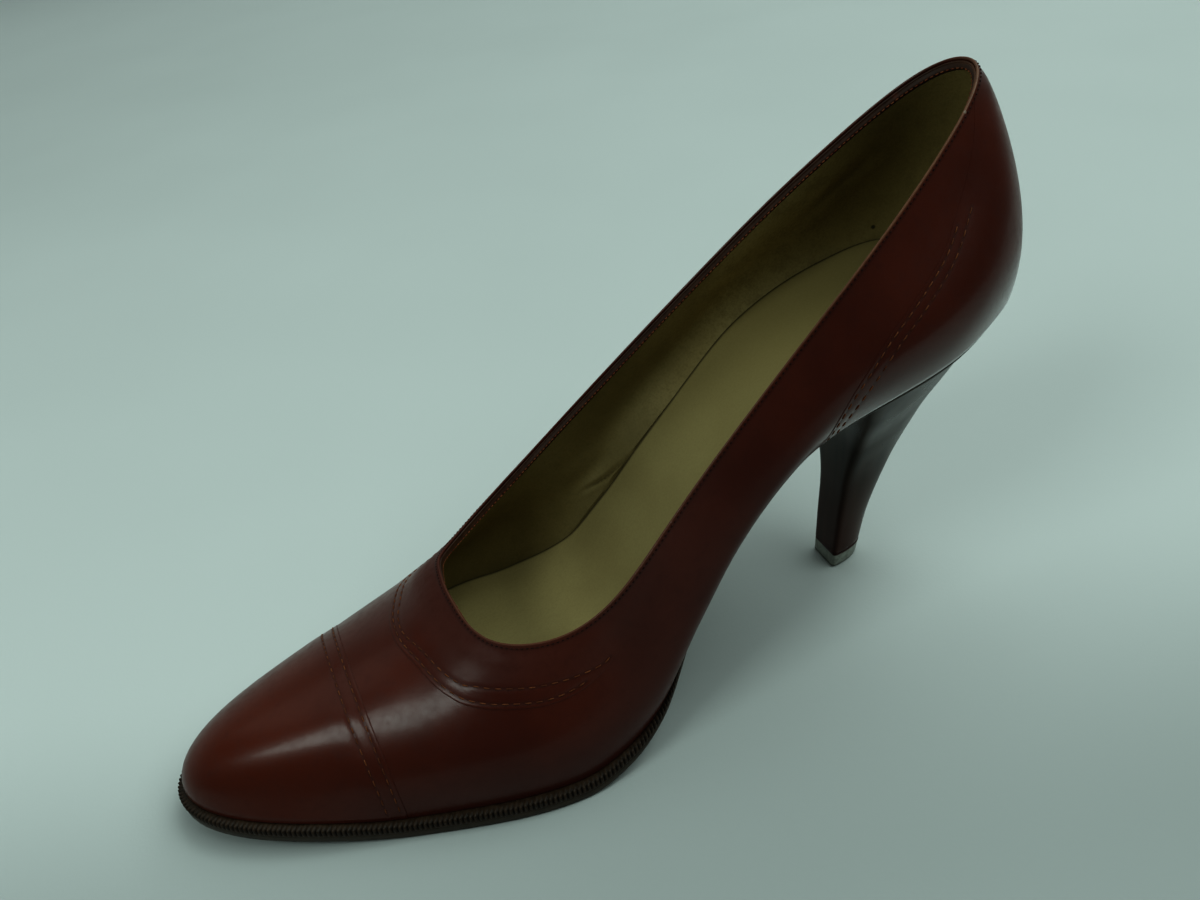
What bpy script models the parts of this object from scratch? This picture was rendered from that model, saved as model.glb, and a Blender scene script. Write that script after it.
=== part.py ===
"""A left pump with a high slim heel: leather upper with toe cap, throat piece and counter, welted sole.

X runs from heel to toe, Y towards the shoe's own left, Z up. The tables are in millimetres with the heel
end of the sole line near x = 0 and the floor at z = 0. The shoe is then moved so that the middle of its
base is the origin.
"""
import bmesh
import bpy
import numpy as np

# Thicknesses and gaps
WALL = 2.0
OVERLAY = 0.6
PIECE_GAP = 0.3
INSOLE_GAP = 0.45
INSOLE_THICK = 2.2
LIFT_THICK = 4.5

# The upper, one row per section round the shoe: heel back, lateral side, toe tip, medial side.
# foot_x and foot_y: where the section leaves the sole line. top_x, top_y, top_z: where it meets the top line.
# low_out and low_up: how it leaves the sole. high_out and high_down: how it comes down from the top line.
SECTION_COLUMNS = (
    "foot_x", "foot_y", "top_x", "top_y", "top_z", "low_out", "low_up", "high_out", "high_down",
)
SECTIONS = {
    "heel back": (1.0, 0.0, 7.1, 0.0, 128.2, 5.2, 19.9, 8.7, 10.5),
    "heel corner lateral": (5.6, 17.9, 14.5, 10.4, 123.2, 4.7, 18.6, 7.0, 12.8),
    "heel side lateral": (27.6, 28.7, 33.9, 17.5, 108.9, 4.5, 16.0, 4.5, 14.7),
    "breast lateral": (53.7, 25.9, 56.0, 21.8, 92.6, 7.3, 12.0, 5.1, 15.8),
    "waist lateral": (83.7, 25.0, 90.2, 26.5, 65.6, 10.6, 8.3, 5.4, 17.0),
    "instep lateral": (107.6, 34.6, 110.4, 30.2, 48.8, 5.6, 13.8, 3.3, 16.7),
    "ball lateral": (134.4, 39.2, 126.4, 28.8, 39.5, 1.5, 15.8, 6.9, 19.1),
    "vamp lateral": (165.0, 32.1, 140.9, 20.0, 37.2, 0.4, 15.0, 12.8, 13.3),
    "toe side lateral": (198.0, 19.6, 145.6, 8.5, 39.8, -5.9, 11.9, 24.8, 17.8),
    "toe tip": (217.4, 0.0, 146.2, 0.0, 40.4, -1.2, 18.2, 24.0, 20.0),
    "toe side medial": (198.9, -22.3, 145.6, -8.6, 39.8, -4.7, 10.7, 23.6, 19.9),
    "vamp medial": (167.7, -31.9, 140.9, -18.0, 37.2, -0.2, 14.8, 12.1, 14.5),
    "ball medial": (138.7, -38.0, 126.4, -28.0, 39.5, 2.7, 17.1, 8.2, 17.0),
    "instep medial": (109.0, -31.2, 110.4, -30.2, 48.8, 5.6, 13.8, 3.3, 16.7),
    "waist medial": (84.1, -23.9, 90.2, -26.8, 65.6, 10.6, 8.3, 5.4, 17.0),
    "breast medial": (53.7, -28.0, 56.0, -21.7, 92.6, 7.3, 12.0, 5.1, 15.8),
    "heel side medial": (27.6, -28.0, 33.9, -17.7, 108.9, 4.5, 16.0, 4.5, 14.7),
    "heel corner medial": (5.6, -17.9, 14.5, -10.6, 123.2, 4.7, 18.6, 7.0, 12.8),
}
TURN = len(SECTIONS)
TOE = TURN / 2
# Mesh steps from each section to the next, heel back to toe tip, the same on both sides.
STEPS = (6, 6, 5, 5, 5, 5, 5, 6, 8)
OUTSIDE_STEPS = 14
INSIDE_RISES = (0, 0.05, 0.11, 0.2, 0.32, 0.45, 0.58, 0.72, 0.86, 1)

# The bottom along the shoe: x, height of the sole line, and depth of the outsole's underside below it.
# The stretch from 132 to 168 lies flat on the floor.
BOTTOM = (
    (-3, 79.6, 1.9), (14, 78.4, 1.9), (28, 74.5, 1.9), (42, 69.7, 1.9), (55, 64.1, 1.9), (70, 54.0, 1.9),
    (85, 41.1, 2.2), (97, 26.8, 2.8), (110, 12.3, 3.8), (120, 7.5, 4.6), (132, 4.9, 4.9), (168, 4.9, 4.9),
    (195, 7.4, 4.9), (222, 9.9, 4.9),
)
# The welt along the shoe: x and thickness.
WELT_THICK = ((80, 0.0), (88, 0.35), (100, 1.1), (115, 2.0), (130, 2.2), (222, 2.2))
# How far each edge stands outside the sole line, per section from heel back to toe tip.
SOLE_EDGE = (-0.6, -0.6, -0.6, -0.9, -1.8, 0.6, 1.9, 1.9, 1.9, 1.9)
WELT_EDGE = (-0.6, -0.6, -0.6, -0.9, -1.6, 0.8, 2.1, 2.1, 2.1, 2.1)
WELT_INSIDE = 6.0
WELT_END = 4.3
SOLE_STEP = 0.8
EDGE_BEVEL = 0.5

# The toe cap's back edge runs straight across at this x, a little further forward on the medial side.
CAP_BACK = 172.7
CAP_SLANT = 0.065
# The throat seam up to the toe: place round the shoe, share of the way up the section.
THROAT_SEAM = (
    (4.2, 0.985), (4.4, 0.935), (4.8, 0.845), (5.2, 0.78), (5.6, 0.738), (6.0, 0.707), (6.4, 0.687),
    (6.8, 0.688), (7.2, 0.711), (7.6, 0.75), (8.1, 0.787), (8.55, 0.81), (9.0, 0.819),
)
# The counter seam from the sole up: share of the way up the section, place round the shoe.
COUNTER_SEAM = (
    (0.0, 3.22), (0.23, 3.12), (0.36, 2.99), (0.45, 2.81), (0.52, 2.61), (0.58, 2.25), (0.64, 1.9),
    (0.73, 1.62), (0.85, 1.25), (1.0, 0.9),
)
RIM_CLEAR = 0.985
FOOT_CLEAR = 0.012

# The heel from the walking end up to the seat: share of the height, breast x, back x, half width.
HEEL = (
    (0.0, 43.6, 33.5, 4.9), (0.2, 42.3, 30.2, 5.4), (0.4, 40.8, 23.9, 6.3), (0.6, 40.2, 15.8, 10.3),
    (0.8, 42.5, 8.3, 18.3), (1.0, 46.2, 1.9, 26.6),
)
HEEL_LEVELS = 12
HEEL_ROUND = 25
HEEL_REACH = 2.75
HEEL_INSET = 0.9

# Colours as red, green, blue in linear light, then roughness.
LOOKS = {
    "upper": (0.115, 0.022, 0.014, 0.28),
    "toe_cap": (0.125, 0.024, 0.015, 0.26),
    "throat_piece": (0.11, 0.021, 0.013, 0.28),
    "counter": (0.105, 0.02, 0.013, 0.27),
    "insole": (0.30, 0.235, 0.13, 0.7),
    "welt": (0.016, 0.011, 0.008, 0.5),
    "outsole": (0.02, 0.013, 0.009, 0.55),
    "heel": (0.02, 0.011, 0.007, 0.25),
    "top_piece": (0.10, 0.095, 0.085, 0.5),
}


def round_curve(rows):
    """A smooth closed curve through the rows, one row per whole step."""
    rows = np.asarray(rows, float)
    count = len(rows)
    band = 4 * np.eye(count) + np.roll(np.eye(count), 1, 1) + np.roll(np.eye(count), -1, 1)
    tangents = np.linalg.solve(band, 3 * (np.roll(rows, -1, 0) - np.roll(rows, 1, 0)))

    def at(turn):
        turn = np.mod(np.asarray(turn, float), count)
        low = np.floor(turn).astype(int) % count
        high = (low + 1) % count
        part = (turn - np.floor(turn))[..., None]
        square, cube = part**2, part**3
        start = (2 * cube - 3 * square + 1) * rows[low] + (cube - 2 * square + part) * tangents[low]
        return start + (3 * square - 2 * cube) * rows[high] + (cube - square) * tangents[high]

    return at


def level_curve(xs, ys):
    """A smooth curve through the points that stays level between two equal heights."""
    xs, ys = np.asarray(xs, float), np.asarray(ys, float)
    widths = np.diff(xs)
    slopes = np.diff(ys) / widths
    before, after = slopes[:-1], slopes[1:]
    near, far = 2 * widths[1:] + widths[:-1], widths[1:] + 2 * widths[:-1]
    agree = before * after > 0
    inner = np.zeros(len(before))
    inner[agree] = (near + far)[agree] / (near[agree] / before[agree] + far[agree] / after[agree])
    tangents = np.concatenate([slopes[:1], inner, slopes[-1:]])

    def at(x):
        x = np.clip(np.asarray(x, float), xs[0], xs[-1])
        low = np.clip(np.searchsorted(xs, x, side="right") - 1, 0, len(widths) - 1)
        part = (x - xs[low]) / widths[low]
        square, cube = part**2, part**3
        low_slope, high_slope = widths[low] * tangents[low], widths[low] * tangents[low + 1]
        start = (2 * cube - 3 * square + 1) * ys[low] + (cube - 2 * square + part) * low_slope
        return start + (3 * square - 2 * cube) * ys[low + 1] + (cube - square) * high_slope

    return at


def columns(rows):
    return [np.array(column, float) for column in zip(*rows)]


bottom_x, bottom_z, bottom_depth = columns(BOTTOM)
sole_line = level_curve(bottom_x, bottom_z)
sole_depth = level_curve(bottom_x, bottom_depth)
welt_thick = level_curve(*columns(WELT_THICK))
section_rows = round_curve(list(SECTIONS.values()))
edge_rows = round_curve(list(zip(SOLE_EDGE + SOLE_EDGE[-2:0:-1], WELT_EDGE + WELT_EDGE[-2:0:-1])))


def section(turn):
    """The sizes of the section at a place round the shoe, by column name."""
    return dict(zip(SECTION_COLUMNS, np.moveaxis(section_rows(turn), -1, 0)))


def foot_line(turn):
    """Points of the sole line and the level direction pointing out of the shoe there."""
    here = section(turn)
    along = (section_rows(turn + 0.01) - section_rows(turn - 0.01))[..., :2]
    along /= np.linalg.norm(along, axis=-1, keepdims=True)
    out = np.stack([-along[..., 1], along[..., 0], np.zeros_like(along[..., 0])], -1)
    points = np.stack([here["foot_x"], here["foot_y"], sole_line(here["foot_x"])], -1)
    return points, out


def surface(turn, rise):
    """The outside of the upper."""
    turn, rise = np.broadcast_arrays(np.asarray(turn, float), np.asarray(rise, float))
    here = section(turn)
    foot, out = foot_line(turn)
    up = np.array((0.0, 0.0, 1.0))
    top = np.stack([here["top_x"], here["top_y"], here["top_z"]], -1)
    low = foot + here["low_out"][..., None] * out + here["low_up"][..., None] * up
    high = top + here["high_out"][..., None] * out - here["high_down"][..., None] * up
    share = rise[..., None]
    rest = 1 - share
    return rest**3 * foot + 3 * rest**2 * share * low + 3 * rest * share**2 * high + share**3 * top


def outward(turn, rise):
    """Unit direction straight out of the upper's surface."""
    round_step = surface(turn + 0.004, rise) - surface(turn - 0.004, rise)
    up_step = surface(turn, rise + 0.004) - surface(turn, rise - 0.004)
    across = np.cross(up_step, round_step)
    return across / np.linalg.norm(across, axis=-1, keepdims=True)


def turns():
    """Places round the shoe, the same on the lateral and the medial side."""
    half = [row + step / count for row, count in enumerate(STEPS) for step in range(count)]
    return np.array(half + [TOE] + [TURN - place for place in half[:0:-1]])


def band_faces(ring_count, size, round_closed, stack_closed):
    """Four-sided faces between rings of points that lie one after another."""
    faces = []
    for ring in range(ring_count if stack_closed else ring_count - 1):
        base, above = ring * size, (ring + 1) % ring_count * size
        for step in range(size if round_closed else size - 1):
            beside = (step + 1) % size
            faces.append((base + step, base + beside, above + beside, above + step))
    return faces


def ladder_faces(base, size, even):
    """Rungs from one side of a ring to the other. An even ring starts and ends on a single point."""
    faces = []
    last = size if even else size - 1
    for step in range(size // 2 if even else (size - 1) // 2):
        corners = (step, step + 1, last - step - 1, last - step)
        kept = []
        for corner in corners:
            if corner % size not in kept:
                kept.append(corner % size)
        if len(kept) > 2:
            faces.append(tuple(base + corner for corner in kept))
    return faces


def stacked(rings, even=True):
    """A solid from a stack of rings, closed with rungs at both ends."""
    size = len(rings[0])
    faces = band_faces(len(rings), size, True, False)
    faces += ladder_faces(0, size, even) + ladder_faces((len(rings) - 1) * size, size, even)
    return np.concatenate(rings), faces


def slab(outside, inside):
    """A solid between two grids of points of the same size."""
    rows, size = outside.shape[:2]
    count = rows * size
    faces = band_faces(rows, size, False, False)
    faces += [tuple(count + corner for corner in face) for face in band_faces(rows, size, False, False)]
    border = [(0, step) for step in range(size - 1)] + [(row, size - 1) for row in range(rows - 1)]
    border += [(rows - 1, step) for step in range(size - 1, 0, -1)]
    border += [(row, 0) for row in range(rows - 1, 0, -1)]
    edge = [row * size + step for row, step in border]
    for here, beside in zip(edge, edge[1:] + edge[:1]):
        faces.append((here, beside, count + beside, count + here))
    return np.concatenate([outside.reshape(-1, 3), inside.reshape(-1, 3)]), faces


def level_with_bottom(points, below):
    """The same points moved to a depth below the sole line."""
    moved = points.copy()
    moved[..., 2] = sole_line(points[..., 0]) - below
    return moved


def inner_foot(turn):
    """How far the inside of the wall stands in from the sole line, measured level."""
    foot, out = foot_line(turn)
    lean = (outward(turn, np.zeros_like(turn)) * out).sum(-1)
    return WALL / lean


def inside_rings(places):
    """The inside of the wall, from the sole line up."""
    foot, out = foot_line(places)
    rings = [level_with_bottom(foot - out * inner_foot(places)[:, None], 0.0)]
    for rise in INSIDE_RISES[1:]:
        rings.append(surface(places, rise) - WALL * outward(places, np.full_like(places, rise)))
    return rings


def upper():
    places = turns()
    rings = [surface(places, rise) for rise in np.linspace(0, 1, OUTSIDE_STEPS + 1)]
    rings += inside_rings(places)[::-1]
    return np.concatenate(rings), band_faces(len(rings), len(places), True, True)


def overlay(turn, rise):
    """Leather lying on the upper over a grid of places."""
    base, out = surface(turn, rise), outward(turn, rise)
    return slab(base + out * (PIECE_GAP + OVERLAY), base + out * PIECE_GAP)


def mirrored(seam):
    """A seam given up to the toe, carried on down the other side."""
    return tuple(seam) + tuple((TURN - place, rise) for place, rise in seam[-2::-1])


def cap_rise(places):
    """How far up each section the back edge of the toe cap lies."""
    rises = np.linspace(0, 1, 201)
    points = surface(places, rises[:, None])
    along = points[..., 0] + CAP_SLANT * points[..., 1]
    return np.array([np.interp(-CAP_BACK, -along[:, step], rises) for step in range(len(places))])


def toe_cap():
    round_toe = np.linspace(TOE - 3, TOE + 3, 601)
    under_cap = round_toe[cap_rise(round_toe) > FOOT_CLEAR * 2]
    places = np.linspace(under_cap[0], under_cap[-1], 31)
    share = np.linspace(0, 1, 9)[:, None]
    rises = FOOT_CLEAR + (cap_rise(places) - FOOT_CLEAR) * share
    return overlay(np.broadcast_to(places, rises.shape), rises)


def throat_piece():
    seam = mirrored(THROAT_SEAM)
    places = np.linspace(seam[0][0] + 0.12, seam[-1][0] - 0.12, 59)
    height = level_curve(*columns(seam))(places)
    rises = height + (RIM_CLEAR - height) * np.linspace(0, 1, 4)[:, None]
    return overlay(np.broadcast_to(places, rises.shape), rises)


def counter():
    rises = np.linspace(FOOT_CLEAR, RIM_CLEAR, 15)[:, None]
    reach = level_curve(*columns(COUNTER_SEAM))(rises)
    places = reach * np.linspace(-1, 1, 33)
    return overlay(places, np.broadcast_to(rises, places.shape))


def insole():
    places = turns()
    foot, out = foot_line(places)
    gap = PIECE_GAP * inner_foot(places) / WALL
    low = foot - out * (inner_foot(places) + gap)[:, None]
    inside = np.stack(inside_rings(places)[:5])
    height = inside[..., 2] - sole_line(inside[..., 0])
    reach = ((inside - foot) * out).sum(-1)
    level = [np.interp(INSOLE_THICK, height[:, step], reach[:, step]) for step in range(len(places))]
    high = foot + out * (np.array(level) - gap)[:, None]
    return stacked([level_with_bottom(low, 0.0), level_with_bottom(high, -INSOLE_THICK)])


def welt_room(x):
    """Depth of the outsole's rim below the sole line, with room for the welt above it."""
    thick = welt_thick(x)
    return PIECE_GAP + thick + PIECE_GAP * np.clip(thick / 0.35, 0, 1)


def outsole():
    places = turns()
    foot, out = foot_line(places)
    edge = edge_rows(places)[:, 0]
    rings = []
    for stand, depth in ((edge - EDGE_BEVEL, "tread"), (edge, "bevel"), (edge, "rim"),
                         (edge * 0 - WELT_INSIDE - PIECE_GAP, "rim"),
                         (edge * 0 - WELT_INSIDE - PIECE_GAP - SOLE_STEP, "top")):
        ring = foot + out * stand[:, None]
        below = {
            "tread": sole_depth(ring[:, 0]),
            "bevel": sole_depth(ring[:, 0]) - EDGE_BEVEL,
            "rim": welt_room(ring[:, 0]),
            "top": np.full(len(ring), INSOLE_GAP),
        }[depth]
        rings.append(level_with_bottom(ring, below))
    return stacked(rings)


def welt():
    places = turns()
    places = places[(places > WELT_END) & (places < TURN - WELT_END)]
    foot, out = foot_line(places)
    outer = foot + out * edge_rows(places)[:, 1:]
    inner = foot - out * WELT_INSIDE
    top = np.stack([level_with_bottom(outer, PIECE_GAP), level_with_bottom(inner, PIECE_GAP)])
    low = np.stack([level_with_bottom(ring, PIECE_GAP + welt_thick(ring[:, 0])) for ring in (outer, inner)])
    return slab(top, low)


def heel_outline(share, breast, back, half):
    """One level of the heel: rounded at the walking end, shaped like the seat higher up."""
    places = np.linspace(-HEEL_REACH, HEEL_REACH, HEEL_ROUND)
    foot, out = foot_line(places)
    seat = foot - out * HEEL_INSET
    seat_x = (seat[:, 0] - seat[:, 0].min()) / (seat[:, 0].max() - seat[:, 0].min())
    seat_y = seat[:, 1] / np.abs(seat[:, 1]).max()
    angle = np.linspace(0, np.pi, HEEL_ROUND)
    blend = share**1.5
    x = back + (breast - back) * ((1 - blend) * (1 - np.sin(angle)) + blend * seat_x)
    y = half * (-(1 - blend) * np.cos(angle) + blend * seat_y)
    return x, y


def heel_levels(low_share, high_share, count):
    share, breast, back, half = columns(HEEL)
    at = np.linspace(low_share, high_share, count)
    found = [level_curve(share, column)(at) for column in (breast, back, half)]
    return [(level, *heel_outline(level, *sizes)) for level, *sizes in zip(at, *found)]


HEEL_START = (LIFT_THICK + PIECE_GAP) / 70


def heel():
    rings = []
    for share, x, y in heel_levels(HEEL_START, 1.0, HEEL_LEVELS):
        climb = (share - HEEL_START) / (1 - HEEL_START)
        seat = sole_line(x) - sole_depth(x) - PIECE_GAP
        rings.append(np.stack([x, y, LIFT_THICK + PIECE_GAP + climb * (seat - LIFT_THICK - PIECE_GAP)], -1))
    return stacked(rings, even=False)


def top_piece():
    rings = []
    for share, x, y in heel_levels(0.0, HEEL_START, 2):
        rings.append(np.stack([x, y, np.full_like(x, LIFT_THICK * share / HEEL_START)], -1))
    return stacked(rings, even=False)


def material(name):
    red, green, blue, rough = LOOKS[name]
    made = bpy.data.materials.new(name)
    made.use_nodes = True
    shader = made.node_tree.nodes["Principled BSDF"]
    shader.inputs["Base Color"].default_value = (red, green, blue, 1)
    shader.inputs["Roughness"].default_value = rough
    return made


def add_object(name, points, faces):
    """One closed piece, in metres, with its faces turned outwards."""
    mesh = bpy.data.meshes.new(name)
    mesh.from_pydata((points / 1000).tolist(), [], faces)
    form = bmesh.new()
    form.from_mesh(mesh)
    bmesh.ops.recalc_face_normals(form, faces=form.faces)
    form.to_mesh(mesh)
    form.free()
    mesh.materials.append(material(name))
    bpy.context.scene.collection.objects.link(bpy.data.objects.new(name, mesh))


for old in list(bpy.data.objects):
    bpy.data.objects.remove(old)

pieces = {
    "upper": upper(),
    "toe_cap": toe_cap(),
    "throat_piece": throat_piece(),
    "counter": counter(),
    "insole": insole(),
    "welt": welt(),
    "outsole": outsole(),
    "heel": heel(),
    "top_piece": top_piece(),
}
every_point = np.concatenate([points for points, faces in pieces.values()])
base_middle = (every_point.min(0) + every_point.max(0)) / 2
base_middle[2] = every_point[:, 2].min()
for name, (points, faces) in pieces.items():
    add_object(name, points - base_middle, faces)
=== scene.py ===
"""The looks of a left pump: red-brown leather, a dark ribbed welt and a slim high heel.

Sizes are millimetres in the maker's layout: x from heel to toe with the heel end of the sole line near 0,
y towards the shoe's own left, z up from the floor. Every piece is moved into the frame's own place when it
is added.
"""
import math

import bmesh
import bpy
import numpy as np
from mathutils import Matrix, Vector
from mathutils.kdtree import KDTree


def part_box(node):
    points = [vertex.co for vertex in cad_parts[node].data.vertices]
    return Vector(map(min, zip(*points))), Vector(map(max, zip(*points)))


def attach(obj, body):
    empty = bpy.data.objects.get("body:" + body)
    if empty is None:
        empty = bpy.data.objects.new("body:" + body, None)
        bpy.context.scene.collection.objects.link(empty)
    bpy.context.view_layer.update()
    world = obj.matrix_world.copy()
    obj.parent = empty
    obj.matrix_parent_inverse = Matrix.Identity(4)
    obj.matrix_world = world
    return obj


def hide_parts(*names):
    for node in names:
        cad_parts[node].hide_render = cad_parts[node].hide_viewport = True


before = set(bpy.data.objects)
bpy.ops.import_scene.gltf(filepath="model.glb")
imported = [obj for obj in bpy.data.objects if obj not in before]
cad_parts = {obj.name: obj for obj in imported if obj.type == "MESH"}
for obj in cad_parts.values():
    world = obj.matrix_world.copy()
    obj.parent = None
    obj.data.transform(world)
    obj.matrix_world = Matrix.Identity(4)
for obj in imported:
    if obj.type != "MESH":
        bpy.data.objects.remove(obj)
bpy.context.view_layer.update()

# The upper, one row per section round the shoe: heel back, lateral side, toe tip, medial side.
# foot_x and foot_y: where the section leaves the sole line. top_x, top_y, top_z: where it meets the top line.
# low_out and low_up: how it leaves the sole. high_out and high_down: how it comes down from the top line.
# Most of these values, and of those for the bottom, the heel and the camera, come from a fit to edges marked
# on the photograph, and are rounded. The throat and counter seams follow marks carried over from it.
SECTION_COLUMNS = (
    "foot_x", "foot_y", "top_x", "top_y", "top_z", "low_out", "low_up", "high_out", "high_down",
)
SECTIONS = {
    "heel back": (1.0, 0.0, 7.1, 0.0, 128.2, 5.2, 19.9, 8.7, 10.5),
    "heel corner lateral": (5.6, 17.9, 14.5, 10.4, 123.2, 4.7, 18.6, 7.0, 12.8),
    "heel side lateral": (27.6, 28.7, 33.9, 17.5, 108.9, 4.5, 16.0, 4.5, 14.7),
    "breast lateral": (53.7, 25.9, 56.0, 21.8, 92.6, 7.3, 12.0, 5.1, 15.8),
    "waist lateral": (83.7, 25.0, 90.2, 26.5, 65.6, 10.6, 8.3, 5.4, 17.0),
    "instep lateral": (107.6, 34.6, 110.4, 30.2, 48.8, 5.6, 13.8, 3.3, 16.7),
    "ball lateral": (134.4, 39.2, 126.4, 28.8, 39.5, 1.5, 15.8, 6.9, 19.1),
    "vamp lateral": (165.0, 32.1, 140.9, 20.0, 37.2, 0.4, 15.0, 12.8, 13.3),
    "toe side lateral": (198.0, 19.6, 145.6, 8.5, 39.8, -5.9, 11.9, 24.8, 17.8),
    "toe tip": (217.4, 0.0, 146.2, 0.0, 40.4, -1.2, 18.2, 24.0, 20.0),
    "toe side medial": (198.9, -22.3, 145.6, -8.6, 39.8, -4.7, 10.7, 23.6, 19.9),
    "vamp medial": (167.7, -31.9, 140.9, -18.0, 37.2, -0.2, 14.8, 12.1, 14.5),
    "ball medial": (138.7, -38.0, 126.4, -28.0, 39.5, 2.7, 17.1, 8.2, 17.0),
    "instep medial": (109.0, -31.2, 110.4, -30.2, 48.8, 5.6, 13.8, 3.3, 16.7),
    "waist medial": (84.1, -23.9, 90.2, -26.8, 65.6, 10.6, 8.3, 5.4, 17.0),
    "breast medial": (53.7, -28.0, 56.0, -21.7, 92.6, 7.3, 12.0, 5.1, 15.8),
    "heel side medial": (27.6, -28.0, 33.9, -17.7, 108.9, 4.5, 16.0, 4.5, 14.7),
    "heel corner medial": (5.6, -17.9, 14.5, -10.6, 123.2, 4.7, 18.6, 7.0, 12.8),
}
TURN = len(SECTIONS)
TOE = TURN / 2
# Small steps for directions on the upper: round the sole line, and over the surface.
FOOT_STEP = 0.01
SLOPE_STEP = 0.004

# The bottom along the shoe: x, height of the sole line, and depth of the outsole's underside below it.
BOTTOM = (
    (-3, 79.6, 1.9), (14, 78.4, 1.9), (28, 74.5, 1.9), (42, 69.7, 1.9), (55, 64.1, 1.9), (70, 54.0, 1.9),
    (85, 41.1, 2.2), (97, 26.8, 2.8), (110, 12.3, 3.8), (120, 7.5, 4.6), (132, 4.9, 4.9), (168, 4.9, 4.9),
    (195, 7.4, 4.9), (222, 9.9, 4.9),
)
# How far each edge stands outside the sole line, per section from heel back to toe tip.
SOLE_EDGE = (-0.6, -0.6, -0.6, -0.9, -1.8, 0.6, 1.9, 1.9, 1.9, 1.9)
WELT_EDGE = (-0.6, -0.6, -0.6, -0.9, -1.6, 0.8, 2.1, 2.1, 2.1, 2.1)
PIECE_GAP = 0.3

# The toe cap's straight back edge: its x on the middle line, its slant, the rise where it ends, and how many
# sections either side of the toe tip it can reach.
CAP_BACK = 172.7
CAP_SLANT = 0.065
CAP_END_RISE = 0.03
CAP_SPAN = 3
# The throat piece's front edge: place round the shoe, share of the way up the section.
THROAT_SEAM = (
    (4.2, 0.985), (4.4, 0.935), (4.8, 0.845), (5.2, 0.78), (5.6, 0.738), (6.0, 0.707), (6.4, 0.687),
    (6.8, 0.688), (7.2, 0.711), (7.6, 0.75), (8.1, 0.787), (8.55, 0.81), (9.0, 0.819),
)
# The counter's front edge: share of the way up the section, place round the shoe.
COUNTER_SEAM = (
    (0.0, 3.22), (0.23, 3.12), (0.36, 2.99), (0.45, 2.81), (0.52, 2.61), (0.58, 2.25), (0.64, 1.9),
    (0.73, 1.62), (0.85, 1.25), (1.0, 0.9),
)

# Stitch rows, measured from the cut edge of the leather they hold down.
CAP_ROWS = (1.3, 4.3)
COUNTER_ROWS = (0.9, 2.9)
THROAT_ROW = 1.1
# How far the throat piece's second row lies behind its first: place round the shoe, distance.
THROAT_ROW_GAP = (
    (5.55, 0.0), (5.9, 2.1), (6.3, 3.0), (7.0, 3.1), (7.5, 2.5), (8.1, 2.3), (8.6, 2.0), (9.0, 1.2),
)
# The throat piece's two rows end here, counted round the shoe; the counter's end this far up.
THROAT_ROW_ENDS = (5.85, 5.5)
COUNTER_ROW_END = 0.68
ROW_START = 0.02
# Rows below the rim, on the outside and on the strip inside.
COLLAR_ROW = 0.95
STRIP_ROW = 1.4
# Beyond the stitches the edges are pared away to nothing, between these places.
THROAT_PARED = (5.1, 6.2)
COUNTER_PARED = (0.42, 0.76)
# Stitches as spacing, half length, half thickness and how deep the ends dip.
SEAM_STITCH = (2.5, 0.86, 0.165, 0.25)
COLLAR_STITCH = (1.2, 0.34, 0.14, 0.18)
STRIP_STITCH = (1.2, 0.42, 0.15, 0.18)
# A stitch from end to end: share of its half length, share of its half thickness.
STITCH_RINGS = ((-0.95, 0.5), (-0.66, 0.85), (0.0, 1.0), (0.66, 0.85), (0.95, 0.5))
# Its sides, the reach and dip of its tips as shares, and the stretch of its row that gives its direction.
STITCH_SIDES = 6
STITCH_TIP = 1.04
STITCH_TIP_DIP = 1.08
STITCH_AIM = 0.4
# The trough that a row pulls into the leather, and how much of it goes where an edge is pared away.
TROUGH_DEEP = 0.085
TROUGH_WIDE = 0.42
TROUGH_PARED = 0.8
TROUGH_START = 0.6

# Thickness of the upper's leather, of its folded rim, of the gap to the next layer and of the whole wall.
LEATHER = 1.1
RIM_LEATHER = 0.62
LAYER_GAP = 0.05
WALL = 2.0
# The rim's rounded top: angles round it in degrees, and the share of the way up that gives its direction.
BEAD_ANGLES = (25, 50, 75, 90, 105, 130, 155, 180)
BEAD_AIM = 0.99
# The upper's hidden inside, as shares of the way up, and the margin tucked under: distance in, depth below
# the sole line.
HIDDEN_SPAN = (0.995, 0.03)
TUCKED = ((1.4, 0.06), (5.0, 0.08), (5.0, 0.2), (0.55, 0.2), (0.15, 0.12))

# Laid-over leather: its height and bed, the rounded cut edge and the slow rise behind it, and how it thins
# towards the rim and the sole line.
OVERLAY = 0.42
OVERLAY_BED = 0.03
CUT_ROUND = 0.3
CUT_SHARE = 0.25
CUT_RISE = 8.0
RIM_SHARE = 0.1
RIM_THINS = (0.5, 5.0)
SOLE_SHARE = 0.3
SOLE_THINS = 1.2
# How each laid-over piece is divided: steps along it, rows beyond those near its edge, and its longest reach.
CAP_GRID = (241, 34, 52.0)
THROAT_GRID = (421, 12, 12.0)
COUNTER_GRID = (46, 75.0)
COUNTER_RISES = ((0.0, 0.06, 6), (0.06, 0.9, 60), (0.9, 0.99, 14))
THROAT_INSET = 0.05
THROAT_TOP = 0.5
EDGE_STEPS = np.array((
    0, 0.12, 0.28, 0.5, 0.8, 1.1, 1.4, 1.8, 2.3, 2.8, 3.2, 3.6, 4.0, 4.3, 4.6, 5.0, 5.5, 6.2, 7.2,
))

# The strip that binds the collar inside.
STRIP_DEEP = 2.1
STRIP_TOP = 0.55
STRIP_PROUD = 0.12
STRIP_DIP = 0.09
STRIP_PARED = 0.16
STRIP_SOFT = 0.4
STRIP_BEND = 0.6
STRIP_DROP = 0.42
STRIP_DEPTHS = (0.85, 0.95, 1.06, 1.17, 1.28, STRIP_ROW, 1.52, 1.63, 1.74, 1.85, 1.94, 2.02, STRIP_DEEP)
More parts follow.
